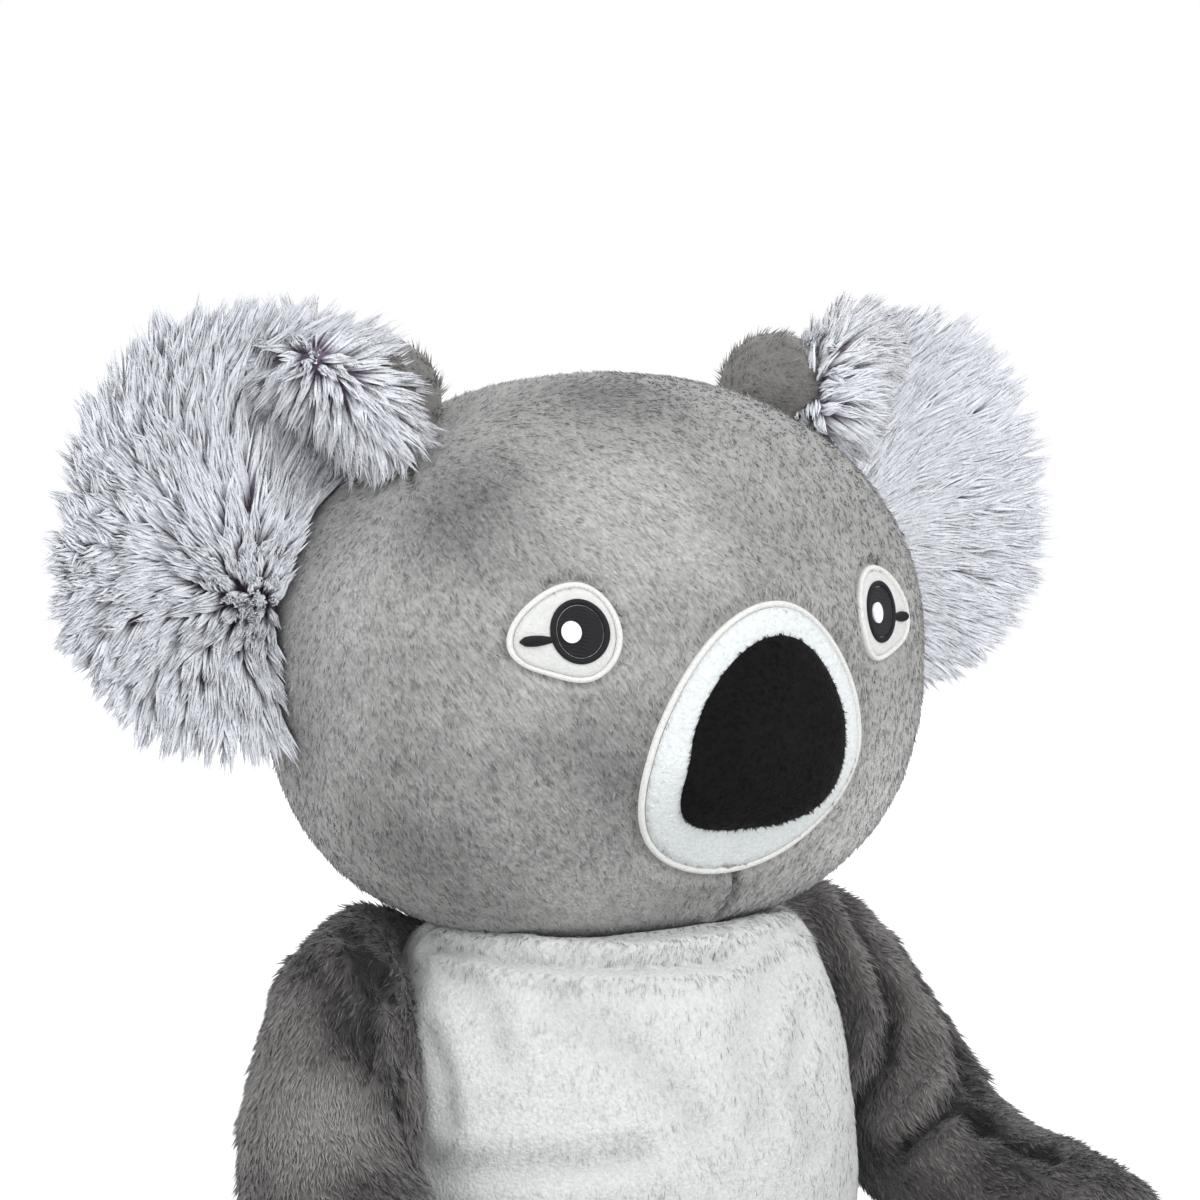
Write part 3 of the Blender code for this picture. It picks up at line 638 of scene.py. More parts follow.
def coat(
    name, mesh, look, count, seed, length, thickness, comb, lift, weight,
    every=5, pull=0.5, shade=None, soft=0.75, variety=1.0,
):
    """Short plush over a form. comb gives the way that the nap is brushed, lift how far it
    stands, in radians, and weight where it grows. Each strand leans by the share pull to the
    leader of its tuft, and every is the number of strands in a tuft."""
    dice = np.random.default_rng(seed)
    count = int(count * bpy.context.scene.koala_sizes.pile_share)
    spots, out = roots(mesh, count, dice, weight)
    way = comb(spots, out)
    flat = unit(square_to(out, way))
    flat = unit(flat + np.cross(out, flat) * dice.normal(0, 0.20, (count, 1)))
    stand = np.clip(dice.normal(lift, 0.3 * lift, count), 0.04, 1.5)[:, None]
    long = length * np.clip(dice.normal(1, 0.18, count), 0.5, 1.5)[:, None]
    start = spots - out * ROOT_DEPTH
    tip = start + (flat * np.cos(stand) + out * np.sin(stand)) * long
    lead = nearest_tuft(spots, every, dice)
    tip = tip * (1 - pull) + tip[lead] * pull
    tip = start + unit(tip - start) * long
    tip[:, 2] = np.maximum(tip[:, 2], FLOOR_GAP)
    start[:, 2] = np.maximum(start[:, 2], FLOOR_GAP)
    # shade gives painted light and shade: it lightens or darkens each strand's tone, and more strands are dark where
    # it paints shade; others are dark at random
    nap = np.zeros(count) if shade is None else shade(spots)
    dark = dice.random(count) < np.clip(0.27 - 0.6 * nap, 0.08, 0.6)
    vary = 0.09 * dice.normal(size=count) + 0.09 * dice.normal(size=count)[lead] - 0.36 * dark
    tone = np.clip(0.56 + nap + variety * vary, 0, 1)
    width = np.stack([thickness * np.where(dark, 0.75, 1.0), np.zeros(count)], axis=-1)
    return needles(name, np.stack([start, tip], axis=1), width, tone, look, dice, out, soft)


# Materials

# How an upright line is turned to lie along the pile, combed down and forward
BRUSHED = (-0.347, -0.548, 0.0)
# The size of a plush's lighter and darker patches, and the share of a strand that is shaded
PATCH_SIZE = 0.03
SHADED_SHARE = 0.55
# How much patches and strands differ in tone, how far the colour of the ground lies from the
# roots' to the tips', how much brushed strokes differ in tone, and how the plush shines
Plush = namedtuple(
    "Plush", "patches spread ground strokes sheen shine", defaults=(0.7, 0.10, 0.35, 0.25)
)
PLUSH = {
    "head plush": Plush(0.05, 0.60, strokes=0.17),
    "muzzle plush": Plush(0.01, 0.20, 0.9, 0.02),
    "nose plush": Plush(0.20, 0.50, sheen=0.03, shine=0.08),
    "ear back plush": Plush(0.20, 0.50, 0.5),
    "body plush": Plush(0.20, 0.85, 0.4),
    "belly plush": Plush(0.01, 0.35, 0.9, 0.03),
}
# Plain cloths: colour, noise and range of the tone, roughness, shine, sheen, and the noise and
# height of the bumps. A noise is its scale and detail.
CLOTH = {
    "cream satin": ("satin", (1500, 2), (0.86, 1.10), 0.60, 0.2, 0.30, (2600, 1), 0.0002),
    "black thread": ("black", (1500, 2), (0.86, 1.10), 0.60, 0.2, 0.03, (2600, 1), 0.0002),
    "white thread": ("bright", (1500, 2), (0.86, 1.10), 0.60, 0.2, 0.30, (2600, 1), 0.0002),
    "white felt": ("felt", (420, 4), (0.93, 1.04), 0.95, 0.5, 0.30, (1100, 4), 0.0006),
    "claw cloth": ("claw", (160, 4), (0.70, 1.60), 0.80, 0.5, 0.25, (1500, 3), 0.0005),
}


def new_look(name):
    look = bpy.data.materials.new(name)
    look.use_nodes = True
    return look, look.node_tree


def node(tree, kind, sockets=None, **settings):
    made = tree.nodes.new(kind)
    for key, value in settings.items():
        setattr(made, key, value)
    for key, value in (sockets or {}).items():
        made.inputs[key].default_value = value
    return made


def wire(tree, *links):
    for source, target in links:
        tree.links.new(source, target)


def mix(tree, share, low, high, blend="MIX"):
    """A mix of two colours, each a socket or three numbers."""
    made = node(tree, "ShaderNodeMix", data_type="RGBA", blend_type=blend)
    for socket, value in ((0, share), (6, low), (7, high)):
        if hasattr(value, "is_linked"):
            tree.links.new(value, made.inputs[socket])
        else:
            made.inputs[socket].default_value = (*value, 1) if socket else value
    return made.outputs[2]


def ranged(tree, value, low, high, to_low, to_high):
    made = node(tree, "ShaderNodeMapRange", {1: low, 2: high, 3: to_low, 4: to_high})
    tree.links.new(value, made.inputs[0])
    return made.outputs[0]


def noise_of(tree, scale, detail, longer=None):
    """Noise. With longer, its grains are drawn out that many times the way of the pile."""
    place = node(tree, "ShaderNodeTexCoord").outputs["Object"]
    if longer:
        drawn = {"Rotation": BRUSHED, "Scale": (1, 1, longer)}
        mapping = node(tree, "ShaderNodeMapping", drawn, vector_type="TEXTURE")
        tree.links.new(place, mapping.inputs[0])
        place = mapping.outputs[0]
    made = node(tree, "ShaderNodeTexNoise", {"Scale": scale, "Detail": detail})
    tree.links.new(place, made.inputs["Vector"])
    return made.outputs[0]


def toned(tree, colour, tone, low, high, ends=(0.3, 0.7)):
    """The colour times a number from low to high, as the tone goes between its ends."""
    grey = node(tree, "ShaderNodeCombineColor")
    factor = ranged(tree, tone, *ends, low, high)
    wire(tree, *((factor, socket) for socket in grey.inputs))
    return mix(tree, 1.0, colour, grey.outputs[0], "MULTIPLY")


def surfaced(look, colour, roughness, shine, sheen, noise, height):
    """Gives a look its colour, its constants and its bumps."""
    tree = look.node_tree
    inputs = tree.nodes["Principled BSDF"].inputs
    inputs["Roughness"].default_value = roughness
    inputs["Specular IOR Level"].default_value = shine
    inputs["Sheen Weight"].default_value = sheen
    bump = node(tree, "ShaderNodeBump", {"Strength": 1, "Distance": height})
    wire(
        tree,
        (colour, inputs["Base Color"]),
        (noise_of(tree, *noise), bump.inputs["Height"]),
        (bump.outputs[0], inputs["Normal"]),
    )
    return look


def strand_parts(tree):
    """A strand's tone, the share along it, and 1, or 0 for the last two on cloth."""
    strand = node(tree, "ShaderNodeAttribute", attribute_name="strand")
    parts = node(tree, "ShaderNodeSeparateXYZ")
    tree.links.new(strand.outputs["Vector"], parts.inputs[0])
    return parts.outputs


def plush_look(name, tip, root, plush):
    """Plush: dark at the root and light at the tip, lighter and darker in random patches and by the tone each strand
    or skin stores, which carries painted light and shade.
    """
    look, tree = new_look(name)
    tone, along, is_strand = strand_parts(tree)
    pile = mix(tree, ranged(tree, along, 0, SHADED_SHARE, 0, 1), root, tip)
    cloth = toned(tree, mix(tree, plush.ground, root, tip), noise_of(tree, 700, 3), 0.9, 1.08)
    colour = mix(tree, is_strand, cloth, pile)
    # The stored tone carries painted light and shade; the patches and strokes vary at random
    for tones, amount, ends in (
        (tone, plush.spread, (-0.5, 0.5)),
        (noise_of(tree, 1 / PATCH_SIZE, 3), plush.patches, (0.3, 0.7)),
        (noise_of(tree, 1250, 2, 7), plush.strokes, (0.36, 0.64)),
    ):
        colour = toned(tree, colour, tones, 1 - amount, 1 + amount, ends)
    tree.nodes["Principled BSDF"].inputs["Sheen Roughness"].default_value = 0.45
    return surfaced(look, colour, 0.85, plush.shine, plush.sheen, (900, 2), 0.0006)


def fur_look(name, tip, root):
    """Two-tone fur: dark roots, a quick turn to pale tips."""
    look, tree = new_look(name)
    tone, along, _ = strand_parts(tree)
    colour = mix(tree, ranged(tree, along, 0.15, 0.40, 0, 1), root, tip)
    colour = toned(tree, colour, tone, 0.88, 1.07, (-0.5, 0.5))
    return surfaced(look, colour, 0.9, 0.1, 0.8, (700, 1), 0.0003)


def cloth_look(name, colour, noise, tones, *surface):
    """Plain cloth, whose threads or fibres differ a little in tone."""
    look, tree = new_look(name)
    return surfaced(look, toned(tree, colour, noise_of(tree, *noise), *tones), *surface)


def look_of(name):
    """The look of this name in the sidebar's colours, made once."""
    if name in bpy.data.materials:
        return bpy.data.materials[name]

    def colour(key):
        return tuple(getattr(bpy.context.scene.koala_colours, key))

    if name in CLOTH:
        key, *values = CLOTH[name]
        return cloth_look(name, colour(key), *values)
    if name == "ear fur":
        return fur_look(name, colour("fur_tip"), colour("fur_root"))
    key = name.split()[0]
    return plush_look(name, colour(key), colour(f"{key}_root"), PLUSH[name])


class Sewing:
    """A step that makes some of the pieces, by the sidebar's sizes."""

    def execute(self, context):
        self.sew(context.scene.koala_sizes)
        return {"FINISHED"}


# Head

# Pixels of the photograph along the seam below the muzzle and along a dart by the ear
CHIN_SEAM = ((734, 868), (737, 886), (729, 901), (714, 915), (690, 935))
DART = ((408, 462), (409, 474), (412, 488))
# Painted light and shade on the head, where its nap is lighter or darker: pixel, size and amount
HEAD_PAINTED_LIGHT_AND_SHADE = (
    (640, 510, 0.034, 0.19), (690, 575, 0.020, 0.04), (352, 600, 0.024, 0.20),
    (545, 695, 0.010, 0.16), (880, 740, 0.030, 0.04), (860, 830, 0.030, 0.62),
    (600, 905, 0.022, 0.20), (450, 520, 0.022, -0.38), (500, 470, 0.016, -0.16),
    (600, 390, 0.026, -0.42), (615, 770, 0.022, -0.26), (420, 850, 0.028, -0.27),
    (290, 760, 0.020, -0.12), (740, 520, 0.012, -0.10),
)


def egg_outline(turn, half_width, up, down, lower_power=2.0):
    """An egg, narrower above, whose lower half is as square as its power says."""
    across, rise = np.cos(turn), np.sin(turn)
    power = np.where(rise > 0, 1, 2 / lower_power)
    x = half_width * np.copysign(abs(across) ** power, across)
    z = np.where(rise > 0, up, down) * np.copysign(abs(rise) ** power, rise)
    return x * (1 - 0.2 * rise), z


def muzzle_outline(turn):
    return egg_outline(turn, 0.0415, 0.046, 0.0435)


def nose_outline(turn):
    return egg_outline(turn, 0.031, 0.033, 0.031, 3.0)


def eye_outline(side):
    """An almond, longer towards its outer corner."""

    def outline(turn):
        outer = np.cos(turn) > 0
        corner = np.maximum(0, np.cos(turn)) ** 4
        across = np.where(outer, 0.0146, 0.0104) + 0.0056 * corner
        height = 0.0143 * np.sin(turn) * (1 + 0.3 * corner) - 0.003 * corner
        return side * across * np.cos(turn), height

    return outline


def loop_on_face(centre, outline, grow):
    turn = np.linspace(0, 2 * math.pi, 97)
    u, v = outline(turn)
    away = 1 + grow / np.hypot(u, v)
    return list(on_face(centre[0] + u * away, centre[1] + v * away, 0.0))


def head_mesh():
    mesh = egg_mesh(HEAD, HEAD_CENTRE)
    spots = positions(mesh) - HEAD_CENTRE
    front = spots[:, 1] < 0
    base = -spots[front, 1]
    puff = muzzle_swell(spots[front, 0], spots[front, 2])
    spots[front, 1] = -(base + ease(base / SWELL_DEPTH) * puff)
    reshape(mesh, spots + HEAD_CENTRE)
    folds = [(loop_on_face(MUZZLE, muzzle_outline, 0.0035), 0.0022, -0.0013)]
    for _, side in SIDES:
        eye = (side * EYE[0], EYE[1])
        folds.append((loop_on_face(eye, eye_outline(side), 0.0028), 0.0016, -0.0011))
    for _, side in SIDES:
        x, z = eye_outline(side)(np.linspace(0.35 * math.pi, 0.90 * math.pi, 10))
        lid = on_face(side * EYE[0] + x * 1.28, EYE[1] + z * 1.28, 0.0)
        folds.append((list(lid), 0.0011, -0.0016))
    tree = tree_of(mesh)
    folds.append((seen(tree, CHIN_SEAM), 0.0015, -0.0034))
    dart = seen(tree, DART)
    folds.append((dart, 0.0014, -0.0022))
    folds.append(([spot * (-1, 1, 1) for spot in dart], 0.0014, -0.0022))
    return uneven(folded(mesh, folds), (0.0007, 0.028, 0))


def head_comb(spots, out):
    """The nap runs down the head and in towards the middle of the face."""
    local = spots - HEAD_CENTRE
    swirl = grain(spots, 0.05, 3)
    inward = -np.tanh(local[:, 0] / 0.03) * (0.75 + 0.35 * swirl)
    return np.stack([inward, 0.15 + 0 * inward, -1 + 0.2 * swirl], axis=-1)


def off_patches(spots):
    """Less pile beneath the sewn patches."""
    local = spots - HEAD_CENTRE
    front = local[:, 1] < 0
    keep = np.ones(len(spots))

    def beneath(centre, outline):
        u, v = local[:, 0] - centre[0], local[:, 2] - centre[1]
        x, z = outline(np.arctan2(v, u * (1 if centre[0] >= 0 else -1)))
        return front & (np.hypot(u, v) < np.hypot(x, z) + 0.001)

    keep[beneath(MUZZLE, muzzle_outline)] = 0
    for _, side in SIDES:
        keep[beneath((side * EYE[0], EYE[1]), eye_outline(side))] = 0
    return keep


class KOALA_OT_head(Sewing, bpy.types.Operator):
    """Sews the head's skin and grows its short plush"""

    bl_idname = "koala.head"
    bl_label = "Head"

    def sew(self, sizes):
        mesh, look = head_mesh(), look_of("head plush")
        skin = show("head", mesh, look)
        settle(skin, "head", ("head_skin", "head_stuffing"), "mid_grey_plush", 0.9)
        tree = tree_of(mesh)
        # Painted light and shade: spots of it over the head, and painted shade along the chin seam's crease, with
        # random unevenness
        painted_spots = paint_light_and_shade_spots(tree, HEAD_PAINTED_LIGHT_AND_SHADE)
        seam = paint_fold_light_and_shade(((seen(tree, CHIN_SEAM), 0.0014, -1),), 0, 0.42)

        def shade(spots):
            tone = painted_spots(spots) + seam(spots)
            return tone + 0.10 * grain(spots, 0.022, 12) + 0.06 * grain(spots, 0.008, 13)

        store_tone_and_painted_light(mesh, shade)
        for part in (1, 2):
            name, seed = f"head_pile_{part}", sizes.seed + 20 * part
            growth = (41000, seed, sizes.head_pile, 0.00084, head_comb, 0.29, off_patches)
            pile = coat(name, mesh, look, *growth, every=4, pull=0.45, shade=shade)
            settle(pile, "head", slot="mid_grey_plush")


# Sewn patches

# Half widths and half heights of an eye's pupil and of its highlight
PUPIL = (0.0072, 0.0085)
HIGHLIGHT = (0.0031, 0.0035)
# Each profile runs from the patch's middle over its rim to its underside: (share of outline, lift)
MUZZLE_PROFILE = (
    (0, 0.0028), (0.3, 0.0028), (0.55, 0.0028), (0.75, 0.0027), (0.9, 0.0022),
    (1.0, 0.0009), (1.0, -0.001), (0.5, -0.001), (0, -0.001),
)
NOSE_PROFILE = (
    (0, 0.0092), (0.25, 0.0091), (0.45, 0.0087), (0.62, 0.0081), (0.76, 0.0073),
    (0.87, 0.0062), (0.95, 0.0049), (1.0, 0.0034), (1.0, 0.001), (0.5, 0.001), (0, 0.001),
)
FELT_PROFILE = (
    (0, 0.0016), (0.5, 0.0016), (0.85, 0.0014), (1.0, 0.0006), (1.0, -0.001), (0, -0.001),
)


def sewn_patch(name, centre, outline, profile, look):
    """An applique of this outline and profile."""
    shares, lifts = np.array(profile).T
    steps = np.linspace(0, 1, len(profile))

    def place(u, v):
        x, z = outline(2 * math.pi * u)
        share = np.interp(v, steps, shares)
        return on_face(centre[0] + x * share, centre[1] + z * share, np.interp(v, steps, lifts))

    return show(name, wrapped(160, (len(profile) - 1) * 2, place), look)


def satin_band(name, centre, outline, width, height, look, stitch, lift=0.0):
    """A raised band of satin stitches along an outline."""
    turns = np.linspace(0, 2 * math.pi, 721)
    x, z = outline(turns)
    run = np.concatenate([[0], np.cumsum(np.hypot(np.diff(x), np.diff(z)))])
    stitches = int(run[-1] / stitch)

    def place(u, v):
        turn = np.interp(u, run / run[-1], turns)
        x, z = outline(turn)
        across = math.pi * (v * 2 - 1)
        ripple = 1 + 0.10 * np.cos(2 * math.pi * stitches * u)
        out = width / 2 + width / 2 * np.cos(across)
        rise = height * np.sin(across) * ripple
        away = 1 + out / np.hypot(x, z)
        return on_face(centre[0] + x * away, centre[1] + z * away, lift + rise)

    return show(name, wrapped(stitches * 3, 7, place), look)


def muzzle_comb(spots, out):
    """The nap runs away from the nose."""
    local = spots - HEAD_CENTRE
    x, z = local[:, 0], local[:, 2] - NOSE[1]
    return np.stack([x, 0 * x, z - 0.01], axis=-1)


def standing_out(lift):
    """Pile grows only where a patch stands out of the face by more than this."""

    def weight(spots):
        return spots[:, 1] < -face_depth(spots[:, 0], spots[:, 2] - HEAD_CENTRE[2]) - lift

    return weight


class KOALA_OT_muzzle(Sewing, bpy.types.Operator):
    """Sews the pale muzzle with its satin border, and the black nose"""

    bl_idname = "koala.muzzle"
    bl_label = "Muzzle and nose"

    def sew(self, sizes):
        pale, black = look_of("muzzle plush"), look_of("nose plush")
        patch = sewn_patch("muzzle", MUZZLE, muzzle_outline, MUZZLE_PROFILE, pale)
        spots = positions(patch.data)
        x, _, z = (spots - HEAD_CENTRE).T
        parting = -0.0010 * hump(x, 0.0018) * ease((-0.044 - z) / 0.006)
        reshape(patch.data, spots + outward(patch.data) * parting[:, None])
        settle(patch, "head", ("muzzle_patch",), "muzzle_plush")
        growth = (8000, sizes.seed + 1, 0.0018, 0.0006, muzzle_comb, 0.18, standing_out(0.0006))
        pile = coat("muzzle_pile", patch.data, pale, *growth, soft=0.96, variety=0.3)
        settle(pile, "head", slot="muzzle_plush")
        thread = (0.0022, 0.0016, look_of("cream satin"), sizes.stitch)
        band = satin_band("muzzle_border", MUZZLE, muzzle_outline, *thread)
        settle(band, "head", ("muzzle_edging",), "cream_thread")
        nose = sewn_patch("nose_pad", NOSE, nose_outline, NOSE_PROFILE, black)
        settle(nose, "head", ("nose",), "black_plush", 0.8)
        growth = (5000, sizes.seed + 2, 0.0020, 0.0005, muzzle_comb, 0.5, standing_out(0.002))
        settle(coat("nose_pile", nose.data, black, *growth), "head", slot="black_plush")


def thread_rows(x, z):
    """Height of the embroidery's rows, from 0 to 1."""
    return 0.5 + 0.5 * np.cos(2 * math.pi * (z + 0.0006 * np.sin(x * 500)) / 0.00125)


def sew_eye(word, side, stitch):
    """Felt with its satin border, the pupil and its rim, the highlight and the lash."""
    thread = look_of("black thread")
    eye = (side * EYE[0], EYE[1])
    shape = eye_outline(side)
    white = sewn_patch(f"{word}_eye_felt", eye, shape, FELT_PROFILE, look_of("white felt"))
    settle(white, "head", (f"{word}_eye_white",), "white_felt")
    satin = (0.0020, 0.0015, look_of("cream satin"), stitch)
    band = satin_band(f"{word}_eye_border", eye, shape, *satin)
    settle(band, "head", (f"{word}_eye_edging",), "cream_thread")

    def disc(turn):
        return side * 0.0004 + PUPIL[0] * np.cos(turn), 0.0003 + PUPIL[1] * np.sin(turn)

    def rows(u, v):
        """The pupil's embroidery."""
        share = np.interp(v, (0, 0.75, 1), (0, 1, 0))
        x, z = disc(2 * math.pi * u)
        x, z = x * share, z * share
        lift = np.where(v < 0.75, 0.0019 + 0.00022 * thread_rows(x, z), 0.0008)
        return on_face(eye[0] + x, eye[1] + z, lift)

    pupil = show(f"{word}_eye_disc", wrapped(56, 56, rows), thread)
    settle(pupil, "head", (f"{word}_eye_pupil",), "black_plush")
    rim = satin_band(f"{word}_eye_rim", eye, disc, 0.0020, 0.0010, thread, stitch, 0.0016)
    settle(rim, "head", slot="black_plush")
    glint = (eye[0] - 0.0033, eye[1] + 0.0002)

    def spiral(u, v):
        """The highlight, stitched round and round."""
        share = np.interp(v, (0, 0.7, 1), (0, 1, 0))
        turn = 2 * math.pi * u
        x, z = HIGHLIGHT[0] * share * np.cos(turn), HIGHLIGHT[1] * share * np.sin(turn)
        coil = np.cos(2 * math.pi * (share * 5 - u))
        lift = np.where(v < 0.7, 0.0029 + 0.00012 * coil * (share < 0.98), 0.0016)
        return on_face(glint[0] + x, glint[1] + z, lift)

    shine = show(f"{word}_eye_glint", wrapped(72, 40, spiral), look_of("white thread"))
    settle(shine, "head", (f"{word}_eye_highlight",), "white_felt")

    def bar(u, v):
        """The lash, thickest near its outer end."""
        along = np.clip(v, 0, 1)
        thick = 0.0009 + 0.0009 * np.sin(math.pi * along**0.8)
        thick = thick * np.sqrt(np.clip(along / 0.16, 0, 1))
        thick = np.where(along > 0.999, 0, thick)
        turn = 2 * math.pi * u
        x = eye[0] + side * (0.0186 - 0.0098 * along)
        z = eye[1] + (-0.0027 + 0.0006 * along) + thick * np.cos(turn)
        ripple = 1 + 0.08 * np.cos(2 * math.pi * along * 20)
        return on_face(x, z, 0.0016 + thick * np.sin(turn) * ripple)

    lash = show(f"{word}_eye_thread", wrapped(16, 80, bar), thread)
    settle(lash, "head", (f"{word}_eye_lash",), "black_plush")


class KOALA_OT_eyes(Sewing, bpy.types.Operator):
    """Embroiders the eyes on their white felt"""

    bl_idname = "koala.eyes"
    bl_label = "Eyes"

    def sew(self, sizes):
        for word, side in SIDES:
            sew_eye(word, side, sizes.stitch)


# Ears

# Each ear is a cupped sheet drawn from its middle over three rings to its edge, with a furry
# roll over its inner top. Places are (inward, forward, up) from the ear's middle: those of the
# rings are in millimetres.
EAR_SOURCE = (0.019, 0.001, -0.027)
EAR_RINGS = (
    ((22, 2, -18), (34, 4, -10), (46, 6, -4)),
    ((27, 1, -5), (43, 4, 8), (58, 10, 16)),
    ((30, 1, 5), (47, 6, 24), (60, 14, 32)),
    ((27, 0, 11), (42, 7, 35), (54, 15, 46)),
    ((22, 0, 16), (33, 6, 43), (43, 13, 55)),
    ((16, -1, 19), (23, 4, 46), (29, 11, 58)),
    ((10, -1, 20), (11, 3, 47), (12, 9, 60)),
    ((3, -1, 18), (-2, 2, 46), (-5, 7, 59)),
    ((-4, -1, 12), (-21, 3, 36), (-30, 8, 51)),
    ((-9, -1, 0), (-36, 4, 16), (-50, 9, 29)),
    ((-12, -1, -13), (-43, 4, -10), (-59, 9, -8)),
    ((-9, -1, -25), (-36, 4, -32), (-52, 9, -36)),
    ((-1, -1, -35), (-18, 3, -46), (-29, 8, -56)),
    ((9, 0, -39), (5, 3, -52), (1, 7, -62)),
    ((19, 1, -37), (26, 4, -48), (29, 7, -57)),
    ((23, 2, -28), (38, 4, -30), (47, 6, -36)),
)
# The roll's middle line and half thickness, and the place along it where its fur parts
EAR_ROLL = (
    (0.0120, 0.010, 0.0575, 0.0045),
    (0.0200, 0.014, 0.0560, 0.0080),
    (0.0290, 0.018, 0.0500, 0.0095),
    (0.0380, 0.025, 0.0410, 0.0100),
    (0.0440, 0.030, 0.0310, 0.0085),
)
ROLL_CROWN = 2


def flowing(values, at, closed=False):
    """Places on the smooth line through evenly spaced rows of values, for each share at."""
    count = len(values)
    spot = at * (count if closed else count - 1)
    low = np.floor(spot).astype(int)
    if not closed:
        low = np.clip(low, 0, count - 2)
    share = (spot - low)[:, None]
    pick = np.arange(len(at)) % values.shape[1]

    def row(step):
        place = (low + step) % count if closed else np.clip(low + step, 0, count - 1)
        return values[place, pick]

    a, b, c, d = row(-1), row(0), row(1), row(2)
    bend = 2 * a - 5 * b + 4 * c - d + share * (3 * (b - c) + d - a)
    return b + 0.5 * share * (c - a + share * bend)


def ear_sheet(turn, share):
    """Places on an ear's sheet, with the way out of its front and the way from its middle."""
    rings = np.array(EAR_RINGS) * 0.001

    def at(turn, share):
        rows = [np.tile(EAR_SOURCE, (len(turn), 1))]
        rows += [flowing(rings[:, None, ring], turn % 1, True) for ring in range(3)]
        return flowing(np.stack(rows), np.clip(share, 0, 1))

    step = 0.004
    share = np.clip(share, 0.03, 1)
    along = at(turn + step, share) - at(turn - step, share)
    away = at(turn, share) - at(turn, share - step)
    return unit(np.cross(along, away)), unit(away), at


def ear_place(turn, share, lift):
    out, _, at = ear_sheet(turn, share)
    return at(turn, share) + out * np.reshape(lift, (-1, 1))


def ear_world(side, local):
    spots = EAR + np.stack([-local[..., 0], -local[..., 1], local[..., 2]], axis=-1)
    return spots * (side, 1, 1)


def ear_shell(side, front, back):
    """A closed shell over the ear's sheet, thickest in its middle."""

    def place(u, v):
        share = np.minimum(v, 1 - v) * 2
        edge = np.sqrt(np.clip(1 - share**6, 0, 1))
        lift = np.where(v < 0.5, front * edge, back * edge)
        lift = np.where(share >= 1, (front + back) / 2, lift)
        return ear_world(side, ear_place(u, share, lift))

    return wrapped(160, 96, place)


def ear_back_mesh(side):
    """The plush back with the lobe by which the curled corner is sewn to the head."""
    shell = ear_shell(side, -0.0002, -0.0075)
    lobe = ball(5)
    size, place = (0.020, 0.019, 0.021), (side * 0.083, 0.009, 0.0905)
    reshape(lobe, positions(lobe) * size + HEAD_CENTRE + place)
    shape = bmesh.new()
    shape.from_mesh(shell)
    shape.from_mesh(lobe)
    return remeshed(mesh_from(shape, "ear back"), 0.0016, 5)


def tuft_needles(name, side, spots, out, way, long, per_tuft, look, dice):
    """Long fur in tufts that narrow towards their ends, clear of the head."""
    count = len(spots)
    lead = nearest_tuft(spots, per_tuft, dice)
    long = long[lead] * np.clip(dice.normal(1, 0.11, count), 0.65, 1.2)
    spread = (spots - spots[lead]) * 0.42 + dice.normal(0, 0.0006, (count, 3))
    tip = spots[lead] + way[lead] * long[:, None] + spread
    half = 0.68
    middle = spots + (way * 0.25 + way[lead] * 0.75) * long[:, None] * half
    middle = middle * 0.45 + (spots[lead] + way[lead] * long[:, None] * half + spread * 1.3) * 0.55
    placed = np.stack([spots - out * 0.0025, middle, tip], axis=1) * (side, 1, 1)
    inside = gauge(HEAD, (placed - HEAD_CENTRE).reshape(-1, 3)).reshape(count, 3)
    pushed = HEAD_CENTRE + (placed - HEAD_CENTRE) / np.maximum(inside, 1e-6)[..., None] * 1.02
    placed = np.where((inside < 1.02)[..., None], pushed, placed)
    width = np.tile((0.0006, 0.0010, 0), (count, 1))
    tone = np.clip(0.5 + 0.2 * dice.normal(size=count) + 0.15 * dice.normal(size=count)[lead], 0, 1)
    front = unit(out * 0.6 + way * 0.4) * (side, 1, 1)
    return needles(name, placed, width, tone, look, dice, front, 0.85)


def long_fur(name, side, seed, look, sizes):
    """Long tufts that stand out of the ear's middle and lie outwards round it."""
    dice = np.random.default_rng(seed)
    count = int(9600 * sizes.pile_share)
    turn, share = dice.random((count * 6, 2)).T
    out, away, at = ear_sheet(turn, share)
    step = 0.003
    first = at(turn + step, share) - at(turn - step, share)
    second = at(turn, share + step) - at(turn, share - step)
    area = np.linalg.norm(np.cross(first, second), axis=1)
    local = at(turn, share)
    seated = gauge(HEAD, ear_world(1, local) - HEAD_CENTRE) > 1.006
    plain = ease((local[:, 0] - 0.036) / 0.008) * ease((local[:, 2] - 0.006) / 0.008)
    crowded = 1 + 3.2 * hump(np.linalg.norm(local - EAR_SOURCE, axis=1), 0.012)
    chance = area * seated * (1 - plain) * crowded
    kept = dice.choice(len(turn), count, replace=False, p=chance / chance.sum())
    out, away = out[kept], away[kept]
    local = at(turn[kept], share[kept]) + out * 0.0015
    far = np.linalg.norm(local - EAR_SOURCE, axis=1)
    lean = 0.50 + 0.72 * ease(far / 0.036)
    near = 1 - ease(far / 0.013)
    sweep = np.array((-0.7, 0, 0.5))
    sweep = sweep - out * (out @ sweep)[:, None]
    away = unit(away + 0.8 * near[:, None] * sweep)
    way = out * np.cos(lean)[:, None] + away * np.sin(lean)[:, None]
    way = unit(way + 0.09 * dice.normal(size=(count, 3)) + (0, 0, -0.05))
    long = sizes.ear_fur * (0.68 + (0.32 if side < 0 else 0.04) * ease(far / 0.045))
    flip = np.array((-1, -1, 1))
    spots = ear_world(1, local)
    return tuft_needles(name, side, spots, out * flip, way * flip, long, 20, look, dice)


